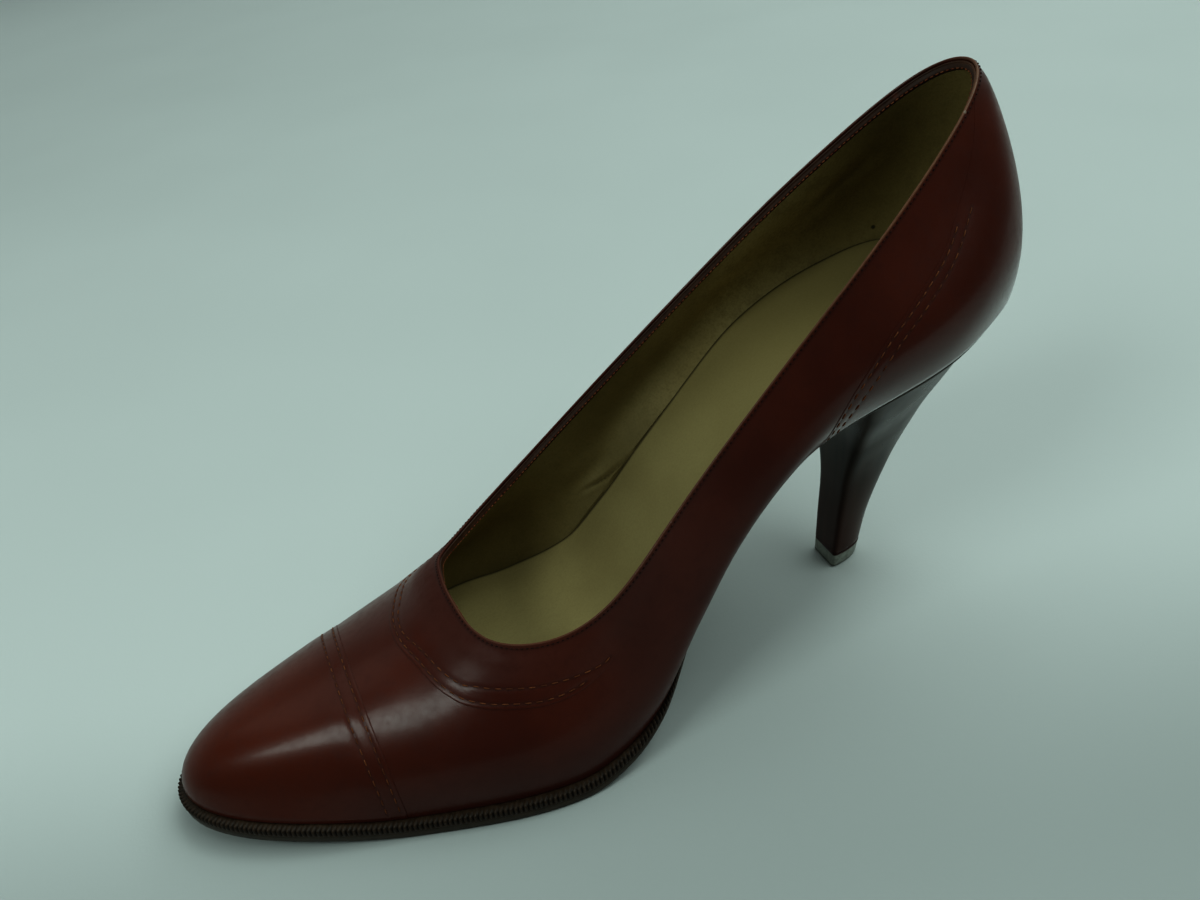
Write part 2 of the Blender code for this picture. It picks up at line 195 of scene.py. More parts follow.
# Its back: depth below the rim, distance inside the upper's surface.
STRIP_BACK = ((STRIP_DEEP, LEATHER), (STRIP_ROW, LEATHER), (0.85, RIM_LEATHER + 0.06))

# The lining's folds, wrinkled by a foot: width, depth, then turn and rise along the fold.
LINING_FOLDS = (
    (0.7, 0.66, ((13.95, -0.03), (13.75, 0.02), (13.573, 0.074), (13.437, 0.137), (13.337, 0.197))),
    (2.4, 0.24, ((13.75, 0.2), (13.6, 0.25), (13.42, 0.32), (13.2, 0.36))),
    (2.2, 0.45, ((16.1, 0.55), (16.35, 0.63), (16.6, 0.7))),
    (2.0, 0.3, ((15.8, 0.5), (16.1, 0.62), (16.3, 0.72))),
)
FOLD_STEPS = 120
FOLD_SPAN = (0.02, 0.98)
RIDGE_AWAY = 1.9
RIDGE_SHARE = 0.55
LINING_START = 0.08
LINING_FOOT = 0.35

# The insole: thickness, gap to the lining, rounded edge and the heights of its lower rings.
INSOLE_THICK = 2.2
INSOLE_GAP = 0.06
INSOLE_EDGE = 0.15
INSOLE_ROUND = 0.5
INSOLE_LEVELS = (0.06, 0.7)
INSOLE_WALL = np.linspace(0, 0.3, 31)
INSOLE_BASE = 9
INSOLE_ACROSS = (0, 0.006, 0.014, 0.026, 0.045, 0.075, 0.12, 0.19, 0.28, 0.38)
LEAN_RISE = 0.04
LEAN_LEAST = 0.4
# The prints of heel and ball: x, breadth. Their depth fades where the insole is narrow.
FOOT_PRINTS = ((24, 18), (140, 22))
FOOT_PRINT = 0.5
INSOLE_NARROW = 16
# Between these stretches of x its top is evened along the shoe, over this distance either way.
INSOLE_EVEN = 9.0
EVEN_STEPS = 13
EVEN_FROM = (60, 90)
EVEN_TO = (160, 185)

# The outsole's edge from the tread up: how far it stands out, height above the tread.
SOLE_ROUND = ((-1.5, 0.0), (-0.9, 0.02), (-0.45, 0.12), (-0.14, 0.32), (0.0, 0.6))
# Its upper corner: how far it stands out, depth below the welt.
SOLE_CORNER = ((0.0, 0.25), (-0.1, 0.06), (-0.35, 0.0))
SOLE_ACROSS = 13

# The welt: x and thickness along the shoe, and its ribs.
WELT_THICK = ((80, 0.0), (88, 0.35), (100, 1.1), (115, 2.0), (130, 2.2), (222, 2.2))
WELT_INSIDE = 6.0
WELT_END = 4.3
WELT_BED = 0.06
WELT_THIN = 0.35
WELT_LEAST = 0.15
RIB_PITCH = 1.15
RIB_DEEP = 0.48
RIB_STEPS = 6
RIB_FULLNESS = 0.6
RIB_GROWS = (0.6, 1.8)
# Across the strip: share of the thickness from the top, distance in from the edge, the share of a rib's
# cut that goes inwards, and the share that goes down.
WELT_PROFILE = (
    (0.0, 1.7, 0.0, 0.0), (0.0, 0.75, 0.35, 0.55), (0.03, 0.32, 0.7, 0.85), (0.12, 0.08, 1.0, 0.6),
    (0.28, 0.0, 1.0, 0.0), (0.55, 0.0, 1.0, 0.0), (0.72, 0.0, 0.9, 0.0), (0.82, 0.1, 0.3, 0.0),
    (0.9, 0.12, 0.0, 0.0), (0.98, 0.2, 0.0, 0.0), (1.0, 0.6, 0.0, 0.0),
)

# The heel from the walking end up to the seat: share of the height, breast x, back x, half width.
HEEL = (
    (0.0, 43.6, 33.5, 4.9), (0.2, 42.3, 30.2, 5.4), (0.4, 40.8, 23.9, 6.3), (0.6, 40.2, 15.8, 10.3),
    (0.8, 42.5, 8.3, 18.3), (1.0, 46.2, 1.9, 26.6),
)
HEEL_REACH = 2.75
HEEL_INSET = 0.9
HEEL_ROUND = 73
HEEL_BREAST = 19
HEEL_LEVELS = 56
HEEL_BLEND = 1.5
HEEL_SEAT_GAP = 0.08
HEEL_LIFT_GAP = 0.12
HEEL_FOOT_BEVEL = 0.3
HEEL_SEAT_BEVEL = (0.5, 0.35)
HEEL_FOOT_IN = 2.0
CORNER_WIDE = 2.2
CORNER_PASSES = 5
SHRINK_LIMIT = 0.95
# The lift, with its worn lower edge and its upper edge: distance in from the outline, height added.
LIFT_THICK = 4.5
LIFT_LEVELS = 7
LIFT_TREAD = ((2.4, 0.0), (0.5, 0.0), (0.18, 0.14), (0.0, 0.42))
LIFT_TOP = ((0.0, -0.25), (0.25, 0.0), (2.4, 0.0))
# About the whole heel's height, as its seat slopes, and the share of it that lies below the heel block.
HEEL_HIGH = 70
HEEL_START = (LIFT_THICK + PIECE_GAP) / HEEL_HIGH

# How finely lines and skins are divided.
LINE_STEPS = 900
RIM_SEARCH = 241
CAP_SEARCH = 201
CAP_END_SEARCH = 1201
WELT_SEARCH = 6000
ROUND_STEPS = 432
UPPER_ROWS = 46
LINING_ROWS = 60
HIDDEN_ROWS = 9
CLOSE_DEPTHS = (0.32, 0.5, 0.7, 0.9, 1.1, 1.3, 1.6, 2.0, 2.5, 3.1, 3.9, 4.7, 5.7, 7.0)
# A mark's value where what it measures from is out of reach.
FAR = 50.0
# Corners sharper than these angles stay sharp; points closer than this, in metres, are joined.
SHARP_CORNER = 38
SHARP_RIB = 60
SHARP_THREAD = 80
JOIN_WITHIN = 2e-6

# Colours of the finishes, as red, green and blue.
OXBLOOD = {
    "deep": (0.08, 0.0178, 0.0102), "pale": (0.107, 0.0245, 0.0138), "toe": (0.13, 0.0258, 0.011),
    "mottle": (0.06, 0.012, 0.008), "row_shade": (0.03, 0.008, 0.005), "cut edge": (0.04, 0.011, 0.007),
    "rubbed and lit rim": (0.27, 0.13, 0.07), "shade under rim": (0.03, 0.008, 0.005), "speck": (0.38, 0.31, 0.25),
    "darker_low": (0.055, 0.013, 0.008),
}
SEAM_THREAD = ((0.11, 0.033, 0.014), (0.25, 0.088, 0.034))
COLLAR_THREAD = ((0.02, 0.006, 0.004), (0.05, 0.014, 0.009))
STRIP_THREAD = ((0.2, 0.055, 0.027), (0.38, 0.14, 0.062))
LINING = {
    "deep": (0.3, 0.225, 0.094), "pale": (0.4, 0.305, 0.135), "heel": (0.22, 0.165, 0.06),
    "middle": (0.46, 0.365, 0.175), "front": (0.16, 0.122, 0.05), "mottle": (0.2, 0.148, 0.056),
    "grain": (0.17, 0.13, 0.058), "fold": (0.11, 0.08, 0.03), "nick": (0.02, 0.016, 0.008),
}
STRIP = {
    "deep": (0.045, 0.018, 0.010), "pale": (0.075, 0.032, 0.018), "top": (0.2, 0.085, 0.042),
    "scuff": (0.16, 0.05, 0.03),
}
SOCK = {
    "deep": (0.352, 0.276, 0.128), "pale": (0.392, 0.312, 0.148), "heel": (0.265, 0.205, 0.084),
    "brushed": (0.3, 0.235, 0.107), "worn": (0.28, 0.23, 0.13), "grain": (0.22, 0.172, 0.08),
    "edge": (0.05, 0.036, 0.015),
}
WELT = {"deep": (0.032, 0.017, 0.0085), "pale": (0.057, 0.031, 0.017), "groove": (0.003, 0.002, 0.0015)}
SOLE = {
    "deep": (0.038, 0.026, 0.017), "pale": (0.06, 0.041, 0.027), "under deep": (0.035, 0.022, 0.014),
    "under pale": (0.055, 0.034, 0.02), "walked": (0.17, 0.125, 0.085),
}
GLOSS = {"deep": (0.024, 0.0148, 0.01), "pale": (0.044, 0.027, 0.0165), "low": (0.07, 0.021, 0.013)}
RUBBER = {
    "deep": (0.22, 0.225, 0.19), "pale": (0.37, 0.38, 0.33), "tread": (0.03, 0.028, 0.024),
    "top": (0.06, 0.022, 0.018),
}
CLOTH = {
    "deep": (0.63, 0.645, 0.63), "pale": (0.68, 0.695, 0.68), "in front": (0.45, 0.465, 0.455),
    "far": (0.9, 0.915, 0.9),
}
# Stretches of the shoe's length over which a finish changes, in the frame's millimetres.
STRETCHES = {
    "toe reddens": (45, 112), "rim paleness eases": (-72, -35), "vamp flexed": (8, 22),
    "low darkening eases": (45, 100), "counter buffed": (-38, -60), "lining heel": (-40, -104),
    "lining middle begins": (-90, -68), "lining middle ends": (-58, -40), "lining front in shade": (-50, -22),
    "sock heel": (-75, 10), "sock worn": (5, 60), "tread begins": (8, 26), "tread ends": (66, 96),
}
# From the medial to the lateral side, across the frame's middle line.
SIDES = (-8, 8)
# Small marks of wear: place, radius. A mark is full out to a share of its radius.
SPECKS = (((176.0, 4.4, 28.6), 0.45), ((16.7, 11.7, 121.3), 0.5))
LINING_NICK = ((13.9, -22.4, 83.7), 0.75)
STRIP_SCUFF = ((17.6, -10.6, 120.2), 1.3)
SPOT_FULL = 0.4

# The floor, in metres, and where its tone changes, in the frame's millimetres: painted shade in front of the
# shoe, painted light far away.
FLOOR_REACH = 4.0
FLOOR_INNER = 0.4
FLOOR_STEPS = 96
FLOOR_FRONT_WAY = (0.28, 0.96)
FLOOR_FRONT = (-15, 78)
FLOOR_FAR = (600, 2200)

# Light panels: turn round the shoe, angle above the floor, distance, width and height in metres, brightness.
PANELS = {
    "toe_panel": (23, 51, 0.9, 0.33, 0.27, 5.2),
    "far_panel": (-75, 58, 2.2, 2.0, 1.6, 0.45),
    "back_panel": (205, 55, 2.2, 1.6, 1.6, 1.25),
    "heel_panel": (150, 55, 2.2, 1.6, 1.6, 1.7),
}
PANEL_AIM = (150.0, 0.0, 30.0)
LIGHT_TINT = (0.83, 1.0, 0.965)
# Brightness of the surround, and where it changes from behind to front and from low to overhead.
SKY_BEHIND = 0.37
SKY_FRONT = 0.07
SKY_OVERHEAD = 0.06
SKY_ACROSS = (-0.7, 0.3)
SKY_RISE = (0.2, 0.6)

# The photograph's camera: turn from the toe towards the lateral side, height angle, roll, distance and aim.
IMAGE_WIDE = 1200
CAMERA_TURN = 73.7
CAMERA_RISE = 35.4
CAMERA_ROLL = -9.8
CAMERA_AWAY = 225.8
CAMERA_FOCUS = 950
CAMERA_AIM = (101.7, -4.6, 58.5)
CAMERA_NEAR = 0.01
SENSOR_WIDE = 36.0


# Curves


def between(part, low, low_slope, high, high_slope):
    """A cubic from a low to a high value that leaves and arrives with the given slopes."""
    square, cube = part**2, part**3
    start = (2 * cube - 3 * square + 1) * low + (cube - 2 * square + part) * low_slope
    return start + (3 * square - 2 * cube) * high + (cube - square) * high_slope


def round_curve(rows):
    """A smooth closed curve through the rows, one row per whole step."""
    rows = np.asarray(rows, float)
    count = len(rows)
    band = 4 * np.eye(count) + np.roll(np.eye(count), 1, 1) + np.roll(np.eye(count), -1, 1)
    tangents = np.linalg.solve(band, 3 * (np.roll(rows, -1, 0) - np.roll(rows, 1, 0)))

    def at(turn):
        turn = np.mod(np.asarray(turn, float), count)
        low = np.floor(turn).astype(int) % count
        high = (low + 1) % count
        part = (turn - np.floor(turn))[..., None]
        return between(part, rows[low], tangents[low], rows[high], tangents[high])

    return at


def level_curve(xs, ys):
    """A smooth curve through the points that stays level between two equal heights."""
    xs, ys = np.asarray(xs, float), np.asarray(ys, float)
    widths = np.diff(xs)
    slopes = np.diff(ys) / widths
    before, after = slopes[:-1], slopes[1:]
    near, far = 2 * widths[1:] + widths[:-1], widths[1:] + 2 * widths[:-1]
    agree = before * after > 0
    inner = np.zeros(len(before))
    inner[agree] = (near + far)[agree] / (near[agree] / before[agree] + far[agree] / after[agree])
    tangents = np.concatenate([slopes[:1], inner, slopes[-1:]])

    def at(x):
        x = np.clip(np.asarray(x, float), xs[0], xs[-1])
        low = np.clip(np.searchsorted(xs, x, side="right") - 1, 0, len(widths) - 1)
        part = (x - xs[low]) / widths[low]
        low_slope, high_slope = widths[low] * tangents[low], widths[low] * tangents[low + 1]
        return between(part, ys[low], low_slope, ys[low + 1], high_slope)

    return at


def columns(rows):
    return [np.array(column, float) for column in zip(*rows)]


def smooth_step(value, low, high):
    share = np.clip((value - low) / (high - low), 0, 1)
    return share * share * (3 - 2 * share)


def quarter_round(share):
    """Rises from 0 to 1 like a quarter of a circle."""
    return np.sqrt(1 - (1 - np.clip(share, 0, 1)) ** 2)


def unit(vectors):
    return vectors / np.linalg.norm(vectors, axis=-1, keepdims=True)


def run_along(line):
    """Distance covered at each point of a line."""
    return np.concatenate([[0], np.cumsum(np.linalg.norm(np.diff(line, axis=0), axis=-1))])


def nearest(points, line):
    """For each point, the step of the nearest place on a dense line and the gap to it."""
    tree = KDTree(len(line))
    for index, point in enumerate(line):
        tree.insert(point, index)
    tree.balance()
    found = [tree.find(point)[1:] for point in points.reshape(-1, 3)]
    step, gap = (np.array(column).reshape(points.shape[:-1]) for column in zip(*found))
    return step, gap


bottom_x, bottom_z, bottom_depth = columns(BOTTOM)
sole_line = level_curve(bottom_x, bottom_z)
sole_depth = level_curve(bottom_x, bottom_depth)
welt_thick = level_curve(*columns(WELT_THICK))
section_rows = round_curve(list(SECTIONS.values()))
edge_rows = round_curve(list(zip(SOLE_EDGE + SOLE_EDGE[-2:0:-1], WELT_EDGE + WELT_EDGE[-2:0:-1])))


# The surface of the upper


def evenly(count):
    """Places round the whole shoe, from the heel back."""
    return np.arange(count) * TURN / count


def section(turn):
    """The sizes of the section at a place round the shoe, by column name."""
    return dict(zip(SECTION_COLUMNS, np.moveaxis(section_rows(turn), -1, 0)))


def foot_line(turn):
    """Points of the sole line and the level direction pointing out of the shoe there."""
    here = section(turn)
    along = unit((section_rows(turn + FOOT_STEP) - section_rows(turn - FOOT_STEP))[..., :2])
    out = np.stack([-along[..., 1], along[..., 0], np.zeros_like(along[..., 0])], -1)
    points = np.stack([here["foot_x"], here["foot_y"], sole_line(here["foot_x"])], -1)
    return points, out


def surface(turn, rise):
    """The outside of the upper."""
    turn, rise = np.broadcast_arrays(np.asarray(turn, float), np.asarray(rise, float))
    here = section(turn)
    foot, out = foot_line(turn)
    up = np.array((0.0, 0.0, 1.0))
    top = np.stack([here["top_x"], here["top_y"], here["top_z"]], -1)
    low = foot + here["low_out"][..., None] * out + here["low_up"][..., None] * up
    high = top + here["high_out"][..., None] * out - here["high_down"][..., None] * up
    share = rise[..., None]
    rest = 1 - share
    return rest**3 * foot + 3 * rest**2 * share * low + 3 * rest * share**2 * high + share**3 * top


def slopes(turn, rise):
    """How the surface moves round the shoe and up the section."""
    round_step = surface(turn + SLOPE_STEP, rise) - surface(turn - SLOPE_STEP, rise)
    up_step = surface(turn, rise + SLOPE_STEP) - surface(turn, rise - SLOPE_STEP)
    return round_step / (2 * SLOPE_STEP), up_step / (2 * SLOPE_STEP)


def outward(turn, rise):
    """Unit direction straight out of the upper's surface."""
    round_step, up_step = slopes(turn, rise)
    return unit(np.cross(up_step, round_step))


def skin(turn, rise, height):
    """The surface moved out by a height, or in where the height is below zero."""
    return surface(turn, rise) + outward(turn, rise) * np.asarray(height, float)[..., None]


def level_with_bottom(points, below):
    """The same points moved to a depth below the sole line."""
    moved = points.copy()
    moved[..., 2] = sole_line(points[..., 0]) - below
    return moved


def rises_below_rim(places, depths):
    """How far up each section lies a depth below the top line: a row per depth."""
    rises = np.linspace(0, 1, RIM_SEARCH)
    steps = np.linalg.norm(np.diff(surface(places, rises[:, None]), axis=0), axis=-1)
    below = np.concatenate([np.cumsum(steps[::-1], axis=0)[::-1], np.zeros((1, len(places)))])
    found = [np.interp(-np.asarray(depths), -below[:, step], rises) for step in range(len(places))]
    return np.stack(found, -1)


# Seams and stitch rows as lines of places on the upper


def cap_rise(places):
    """How far up each section the back edge of the toe cap lies."""
    rises = np.linspace(0, 1, CAP_SEARCH)
    points = surface(places, rises[:, None])
    along = points[..., 0] + CAP_SLANT * points[..., 1]
    return np.array([np.interp(-CAP_BACK, -along[:, step], rises) for step in range(len(places))])


def inset(line, distance):
    """A line of places moved along the leather to its left by a distance."""
    turn, rise = line
    round_step, up_step = slopes(turn, rise)
    along = round_step * np.gradient(turn)[:, None] + up_step * np.gradient(rise)[:, None]
    side = np.cross(unit(along), outward(turn, rise)) * np.broadcast_to(distance, turn.shape)[:, None]
    moved = (np.linalg.pinv(np.stack([round_step, up_step], -1)) @ side[..., None])[..., 0]
    return turn + moved[:, 0], rise + moved[:, 1]


def cut(line, keep):
    return line[0][keep], line[1][keep]


def near_turn(turn):
    """Places round the shoe counted from the heel back on either side."""
    turn = np.mod(turn, TURN)
    return np.minimum(turn, TURN - turn)


round_toe = np.linspace(TOE + CAP_SPAN, TOE - CAP_SPAN, CAP_END_SEARCH)
round_toe = round_toe[cap_rise(round_toe) > CAP_END_RISE]
cap_places = np.linspace(round_toe[0], round_toe[-1], LINE_STEPS)
cap_edge = cap_places, cap_rise(cap_places)

throat_edge_rise = level_curve(*columns(THROAT_SEAM))
throat_places = np.linspace(THROAT_SEAM[0][0], TURN - THROAT_SEAM[0][0], LINE_STEPS)
throat_edge = throat_places, throat_edge_rise(near_turn(throat_places))

counter_reach = level_curve(*columns(COUNTER_SEAM))
counter_rises = np.linspace(0, 1, LINE_STEPS // 2)
counter_edges = (
    (counter_reach(counter_rises), counter_rises),
    (-counter_reach(counter_rises[::-1]), counter_rises[::-1]),
)

collar_places = evenly(2 * LINE_STEPS)
collar_row = collar_places, rises_below_rim(collar_places, [COLLAR_ROW])[0]
strip_row = collar_places, rises_below_rim(collar_places, [STRIP_ROW])[0]
rim_line = surface(collar_places, 1.0)
foot_points = foot_line(collar_places)[0]


def throat_rows():
    gap = level_curve(*columns(THROAT_ROW_GAP))(near_turn(throat_places))
    rows = (inset(throat_edge, THROAT_ROW), inset(throat_edge, THROAT_ROW + gap))
    return [cut(row, near_turn(row[0]) > end) for row, end in zip(rows, THROAT_ROW_ENDS)]


def counter_rows():
    rows = [inset(edge, distance) for edge in counter_edges for distance in COUNTER_ROWS]
    return [cut(row, (row[1] > ROW_START) & (row[1] < COUNTER_ROW_END)) for row in rows]


def cap_rows():
    rows = [inset(cap_edge, distance) for distance in CAP_ROWS]
    return [cut(row, row[1] > ROW_START) for row in rows]


ROWS = {"cap": cap_rows(), "throat": throat_rows(), "counter": counter_rows()}
row_points = np.concatenate([surface(*row) for rows in ROWS.values() for row in rows])
EDGES = {
    "cap": surface(*cap_edge),
    "throat": surface(*throat_edge),
    "counter": np.concatenate([surface(*edge) for edge in counter_edges]),
}


def edge_pared(turn, rise, edge):
    """0 where an edge is cut and stitched, 1 where it is pared away to nothing."""
    if edge == "throat":
        return 1 - smooth_step(near_turn(turn), *THROAT_PARED)
    if edge == "counter":
        return smooth_step(rise, *COUNTER_PARED)
    return np.zeros(turn.shape)


def marks_at(turn, rise, edge=None):
    """What the finishes need: distances from the cut edge, stitch rows, rim and sole line, and the paring."""
    turn, rise = np.broadcast_arrays(turn, rise)
    points = surface(turn, rise)
    return {
        "pared": edge_pared(turn, rise, edge),
        "from_edge": nearest(points, EDGES[edge])[1] if edge else np.full(turn.shape, FAR),
        "from_row": nearest(points, row_points)[1],
        "from_rim": nearest(points, rim_line)[1],
        "from_sole": nearest(points, foot_points)[1],
    }


def leather_height(marks, laid_over):
    """How high the leather stands above the upper's own surface."""
    pared, from_edge = marks["pared"], marks["from_edge"]
    trough = TROUGH_DEEP * np.exp(-((marks["from_row"] / TROUGH_WIDE) ** 2)) * (1 - TROUGH_PARED * pared)
    if not laid_over:
        return -trough
    edge = CUT_SHARE * (1 - pared) * quarter_round(from_edge / CUT_ROUND)
    edge = edge + (1 - CUT_SHARE) * smooth_step(from_edge, 0.0, CUT_RISE)
    to_rim = RIM_SHARE + (1 - RIM_SHARE) * smooth_step(marks["from_rim"], *RIM_THINS)
    to_sole = SOLE_SHARE + (1 - SOLE_SHARE) * smooth_step(marks["from_sole"], 0.0, SOLE_THINS)
    height = OVERLAY_BED + OVERLAY * edge * to_rim * to_sole
    return height - trough * smooth_step(from_edge, 0.0, TROUGH_START)


# Meshes


def band_faces(ring_count, size, round_closed, stack_closed):
    """Four-sided faces between rings of points that lie one after another."""
    faces = []
    for ring in range(ring_count if stack_closed else ring_count - 1):
        base, above = ring * size, (ring + 1) % ring_count * size
        for step in range(size if round_closed else size - 1):
            beside = (step + 1) % size
            faces.append((base + step, base + beside, above + beside, above + step))
    return faces


def shifted(faces, base):
    """The same faces for points that lie further down the list."""
    return [tuple(base + corner for corner in face) for face in faces]


def hoop(rings):
    """A closed skin from rings that run round the shoe, the last joined to the first."""
    return np.concatenate(rings), band_faces(len(rings), len(rings[0]), True, True)


def slab(outside, inside):
    """A solid between two grids of points of the same size."""
    rows, size = outside.shape[:2]
    count = rows * size
    faces = band_faces(rows, size, False, False)
    faces += shifted(faces, count)
    border = [(0, step) for step in range(size - 1)] + [(row, size - 1) for row in range(rows - 1)]
    border += [(rows - 1, step) for step in range(size - 1, 0, -1)]
    border += [(row, 0) for row in range(rows - 1, 0, -1)]
    edge = [row * size + step for row, step in border]
    for here, beside in zip(edge, edge[1:] + edge[:1]):
        faces.append((here, beside, count + beside, count + here))
    return np.concatenate([outside.reshape(-1, 3), inside.reshape(-1, 3)]), faces


def rungs(ring, across):
    """A grid of points across a ring, from its lateral to its medial side, heel to toe."""
    half = len(ring) // 2
    lateral = ring[: half + 1]
    medial = ring[-np.arange(half + 1) % len(ring)]
    share = np.asarray(across)[None, :, None]
    return lateral[:, None] * (1 - share) + medial[:, None] * share


def closed_stack(rings, low_grid, high_grid):
    """A solid from a stack of rings, closed by a grid below and a grid above."""
    points = [np.concatenate(rings)]
    faces = band_faces(len(rings), len(rings[0]), True, False)
    for grid in (low_grid, high_grid):
        base = sum(len(part) for part in points)
        faces += shifted(band_faces(*grid.shape[:2], False, False), base)
        points.append(grid.reshape(-1, 3))
    return np.concatenate(points), faces


def fan(rings):
    """A solid from a stack of rings, each end closed on a middle point."""
    size = len(rings[0])
    points = np.concatenate(rings + [rings[0].mean(0)[None], rings[-1].mean(0)[None]])
    faces = band_faces(len(rings), size, True, False)
    last = (len(rings) - 1) * size
    low, high = len(points) - 2, len(points) - 1
    for step in range(size):
        beside = (step + 1) % size
        faces += [(low, beside, step), (high, last + step, last + beside)]
    return points, faces


welt_high_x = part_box("welt")[1][0] * 1000
lift_low, lift_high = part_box("top_piece")
FRAME_SHIFT = np.array((
    SECTIONS["toe tip"][0] + WELT_EDGE[-1] - welt_high_x,
    -(lift_low[1] + lift_high[1]) * 500,
    0.0,
))


def to_frame(points):
    return (np.asarray(points, float) - FRAME_SHIFT) / 1000


def add_mesh(name, points, faces, finish):
    """An object in the scene, its points in metres."""
    mesh = bpy.data.meshes.new(name)
    mesh.from_pydata(points.tolist(), [], faces)
    mesh.materials.append(finish.material)
    made = bpy.data.objects.new(name, mesh)
    bpy.context.scene.collection.objects.link(made)
    return made


def add_piece(name, made, finish, replaced=(), sharp=SHARP_CORNER):
    """One closed piece in the frame, smooth except at sharp corners."""
    (points, faces), marks = made
    piece = add_mesh(name, to_frame(points), faces, finish)
    mesh = piece.data
    for mark, values in marks.items():
        layer = mesh.attributes.new(name=mark, type="FLOAT", domain="POINT")
        layer.data.foreach_set("value", np.asarray(values, np.float32))
    form = bmesh.new()
    form.from_mesh(mesh)
    bmesh.ops.remove_doubles(form, verts=form.verts, dist=JOIN_WITHIN)
    bmesh.ops.recalc_face_normals(form, faces=form.faces)
    form.to_mesh(mesh)
    form.free()
    mesh.shade_smooth()
    mesh.set_sharp_from_angle(angle=math.radians(sharp))
    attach(piece, "root")
    if replaced:
        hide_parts(*replaced)


# The upper, its lining and the strip inside the collar. Every shape comes with the marks its finish reads.


def bead(places, offset, thick, drop):
    """The rounded top edge of a layer that lies a distance inside the upper's surface."""
    top = surface(places, 1.0)
    up = unit(top - surface(places, BEAD_AIM))
    out = outward(places, 1.0)
    radius = thick / 2
    middle = top - out * (offset + radius) - up * (radius + drop)
    turns = np.radians(BEAD_ANGLES)
    return [middle + radius * (math.cos(angle) * out + math.sin(angle) * up) for angle in turns]


def upper_shape():
    places = evenly(ROUND_STEPS)
    close = rises_below_rim(places, CLOSE_DEPTHS)[::-1]
    low = np.linspace(0, 1, UPPER_ROWS, endpoint=False)[:, None] * close[0]
    rises = np.concatenate([low, close])
    marks = marks_at(places, rises)
    outside = skin(places, rises, leather_height(marks, False))
    hidden = np.linspace(*HIDDEN_SPAN, HIDDEN_ROWS)[:, None] * close[-1]
    thick = np.array([RIM_LEATHER] + [LEATHER] * (HIDDEN_ROWS - 1))
    inside = skin(places, hidden, -thick[:, None])
    foot, out = foot_line(places)
    tucked = [level_with_bottom(foot - out * inward, below) for inward, below in TUCKED]
    beads = bead(places, 0.0, RIM_LEATHER, 0.0)
    for mark, rows in marks.items():
        within = 0.0 if mark in ("pared", "from_rim") else FAR
        under = 0.0 if mark == "from_sole" else FAR
        rest = [within] * (len(beads) + len(inside)) + [under] * len(tucked)
        marks[mark] = np.concatenate([rows.ravel(), np.repeat(rest, ROUND_STEPS)])
    return hoop(list(outside) + beads + list(inside) + tucked), marks


def fold_height(points):
    """The lining's folds, as soft troughs with a low ridge beside them."""
    height = np.zeros(points.shape[:-1])
    fine = np.linspace(0, 1, FOLD_STEPS)
    strength = np.sin(np.pi * np.clip(fine, *FOLD_SPAN)) ** 0.5
    for wide, deep, path in LINING_FOLDS:
        turn, rise = columns(path)
        share = np.linspace(0, 1, len(turn))
        along = surface(np.interp(fine, share, turn), np.interp(fine, share, rise))
        step, gap = nearest(points, along)
        ridge = np.exp(-(((gap - RIDGE_AWAY * wide) / wide) ** 2))
        height += deep * strength[step] * (np.exp(-((gap / wide) ** 2)) - RIDGE_SHARE * ridge)
    return height


def lining_shape():
    places = evenly(ROUND_STEPS)
    top = rises_below_rim(places, [STRIP_DEEP + LINING_START])[0]
    seen = np.linspace(1, 0, LINING_ROWS)[:, None] * top
    hidden = np.linspace(0, 1, HIDDEN_ROWS)[:, None] * top
    folds = fold_height(surface(places, seen))
    inside = skin(places, seen, -WALL + folds)
    outside = skin(places, hidden, -(LEATHER + LAYER_GAP))
    # Below its last row the lining drops straight down behind the insole's edge.
    last = inside[-1]
    foot = level_with_bottom(last, np.maximum(-LINING_FOOT, sole_line(last[:, 0]) - last[:, 2]))
    marks = {"fold": np.concatenate([np.zeros(hidden.size), folds.ravel(), np.zeros(len(places))])}
    return hoop(list(outside) + list(inside) + [foot]), marks


def strip_face(depth):
    """How far inside the upper's surface the strip's face lies, at a depth below the rim."""
    top = RIM_LEATHER + LAYER_GAP + STRIP_TOP
    pulled = STRIP_DIP * np.exp(-(((depth - STRIP_ROW) / STRIP_SOFT) ** 2))
    pared = STRIP_PARED * smooth_step(depth, STRIP_DEEP - STRIP_SOFT, STRIP_DEEP)
    return top + (WALL + STRIP_PROUD - top) * smooth_step(depth, STRIP_BEND, STRIP_ROW) - pulled - pared


def strip_shape():
    places = evenly(ROUND_STEPS)
    depths = np.array(STRIP_DEPTHS)
    inside = skin(places, rises_below_rim(places, depths), -strip_face(depths)[:, None])
    back_depths, back_start = columns(STRIP_BACK)
    outside = skin(places, rises_below_rim(places, back_depths), -(back_start + LAYER_GAP)[:, None])
    beads = bead(places, RIM_LEATHER + LAYER_GAP, STRIP_TOP, STRIP_DROP)
    marks = {"from_rim": np.repeat([*back_depths, *[0.0] * len(beads), *depths], ROUND_STEPS)}
    return hoop(list(outside) + beads + list(inside)), marks


# The leather laid over the upper


def laid_over(turn, rise, edge):
    """A panel over a grid of places, with its edge, rows and rim worked in."""
    marks = marks_at(turn, rise, edge)
    outside = skin(turn, rise, leather_height(marks, True))
    inside = skin(turn, rise, OVERLAY_BED / 2)
    return slab(outside, inside), {mark: np.tile(values.ravel(), 2) for mark, values in marks.items()}


def edge_shares(rows, reach):
    """Shares of the way across a panel from its cut edge, close together near the edge."""
    near = EDGE_STEPS / reach
    return np.concatenate([near, np.linspace(near[-1], 1, rows)[1:]])


def cap_shape():
    steps, rows, longest = CAP_GRID
    places = np.linspace(cap_places[0], cap_places[-1], steps)
    return laid_over(places, cap_rise(places) * (1 - edge_shares(rows, longest)[:, None]), "cap")


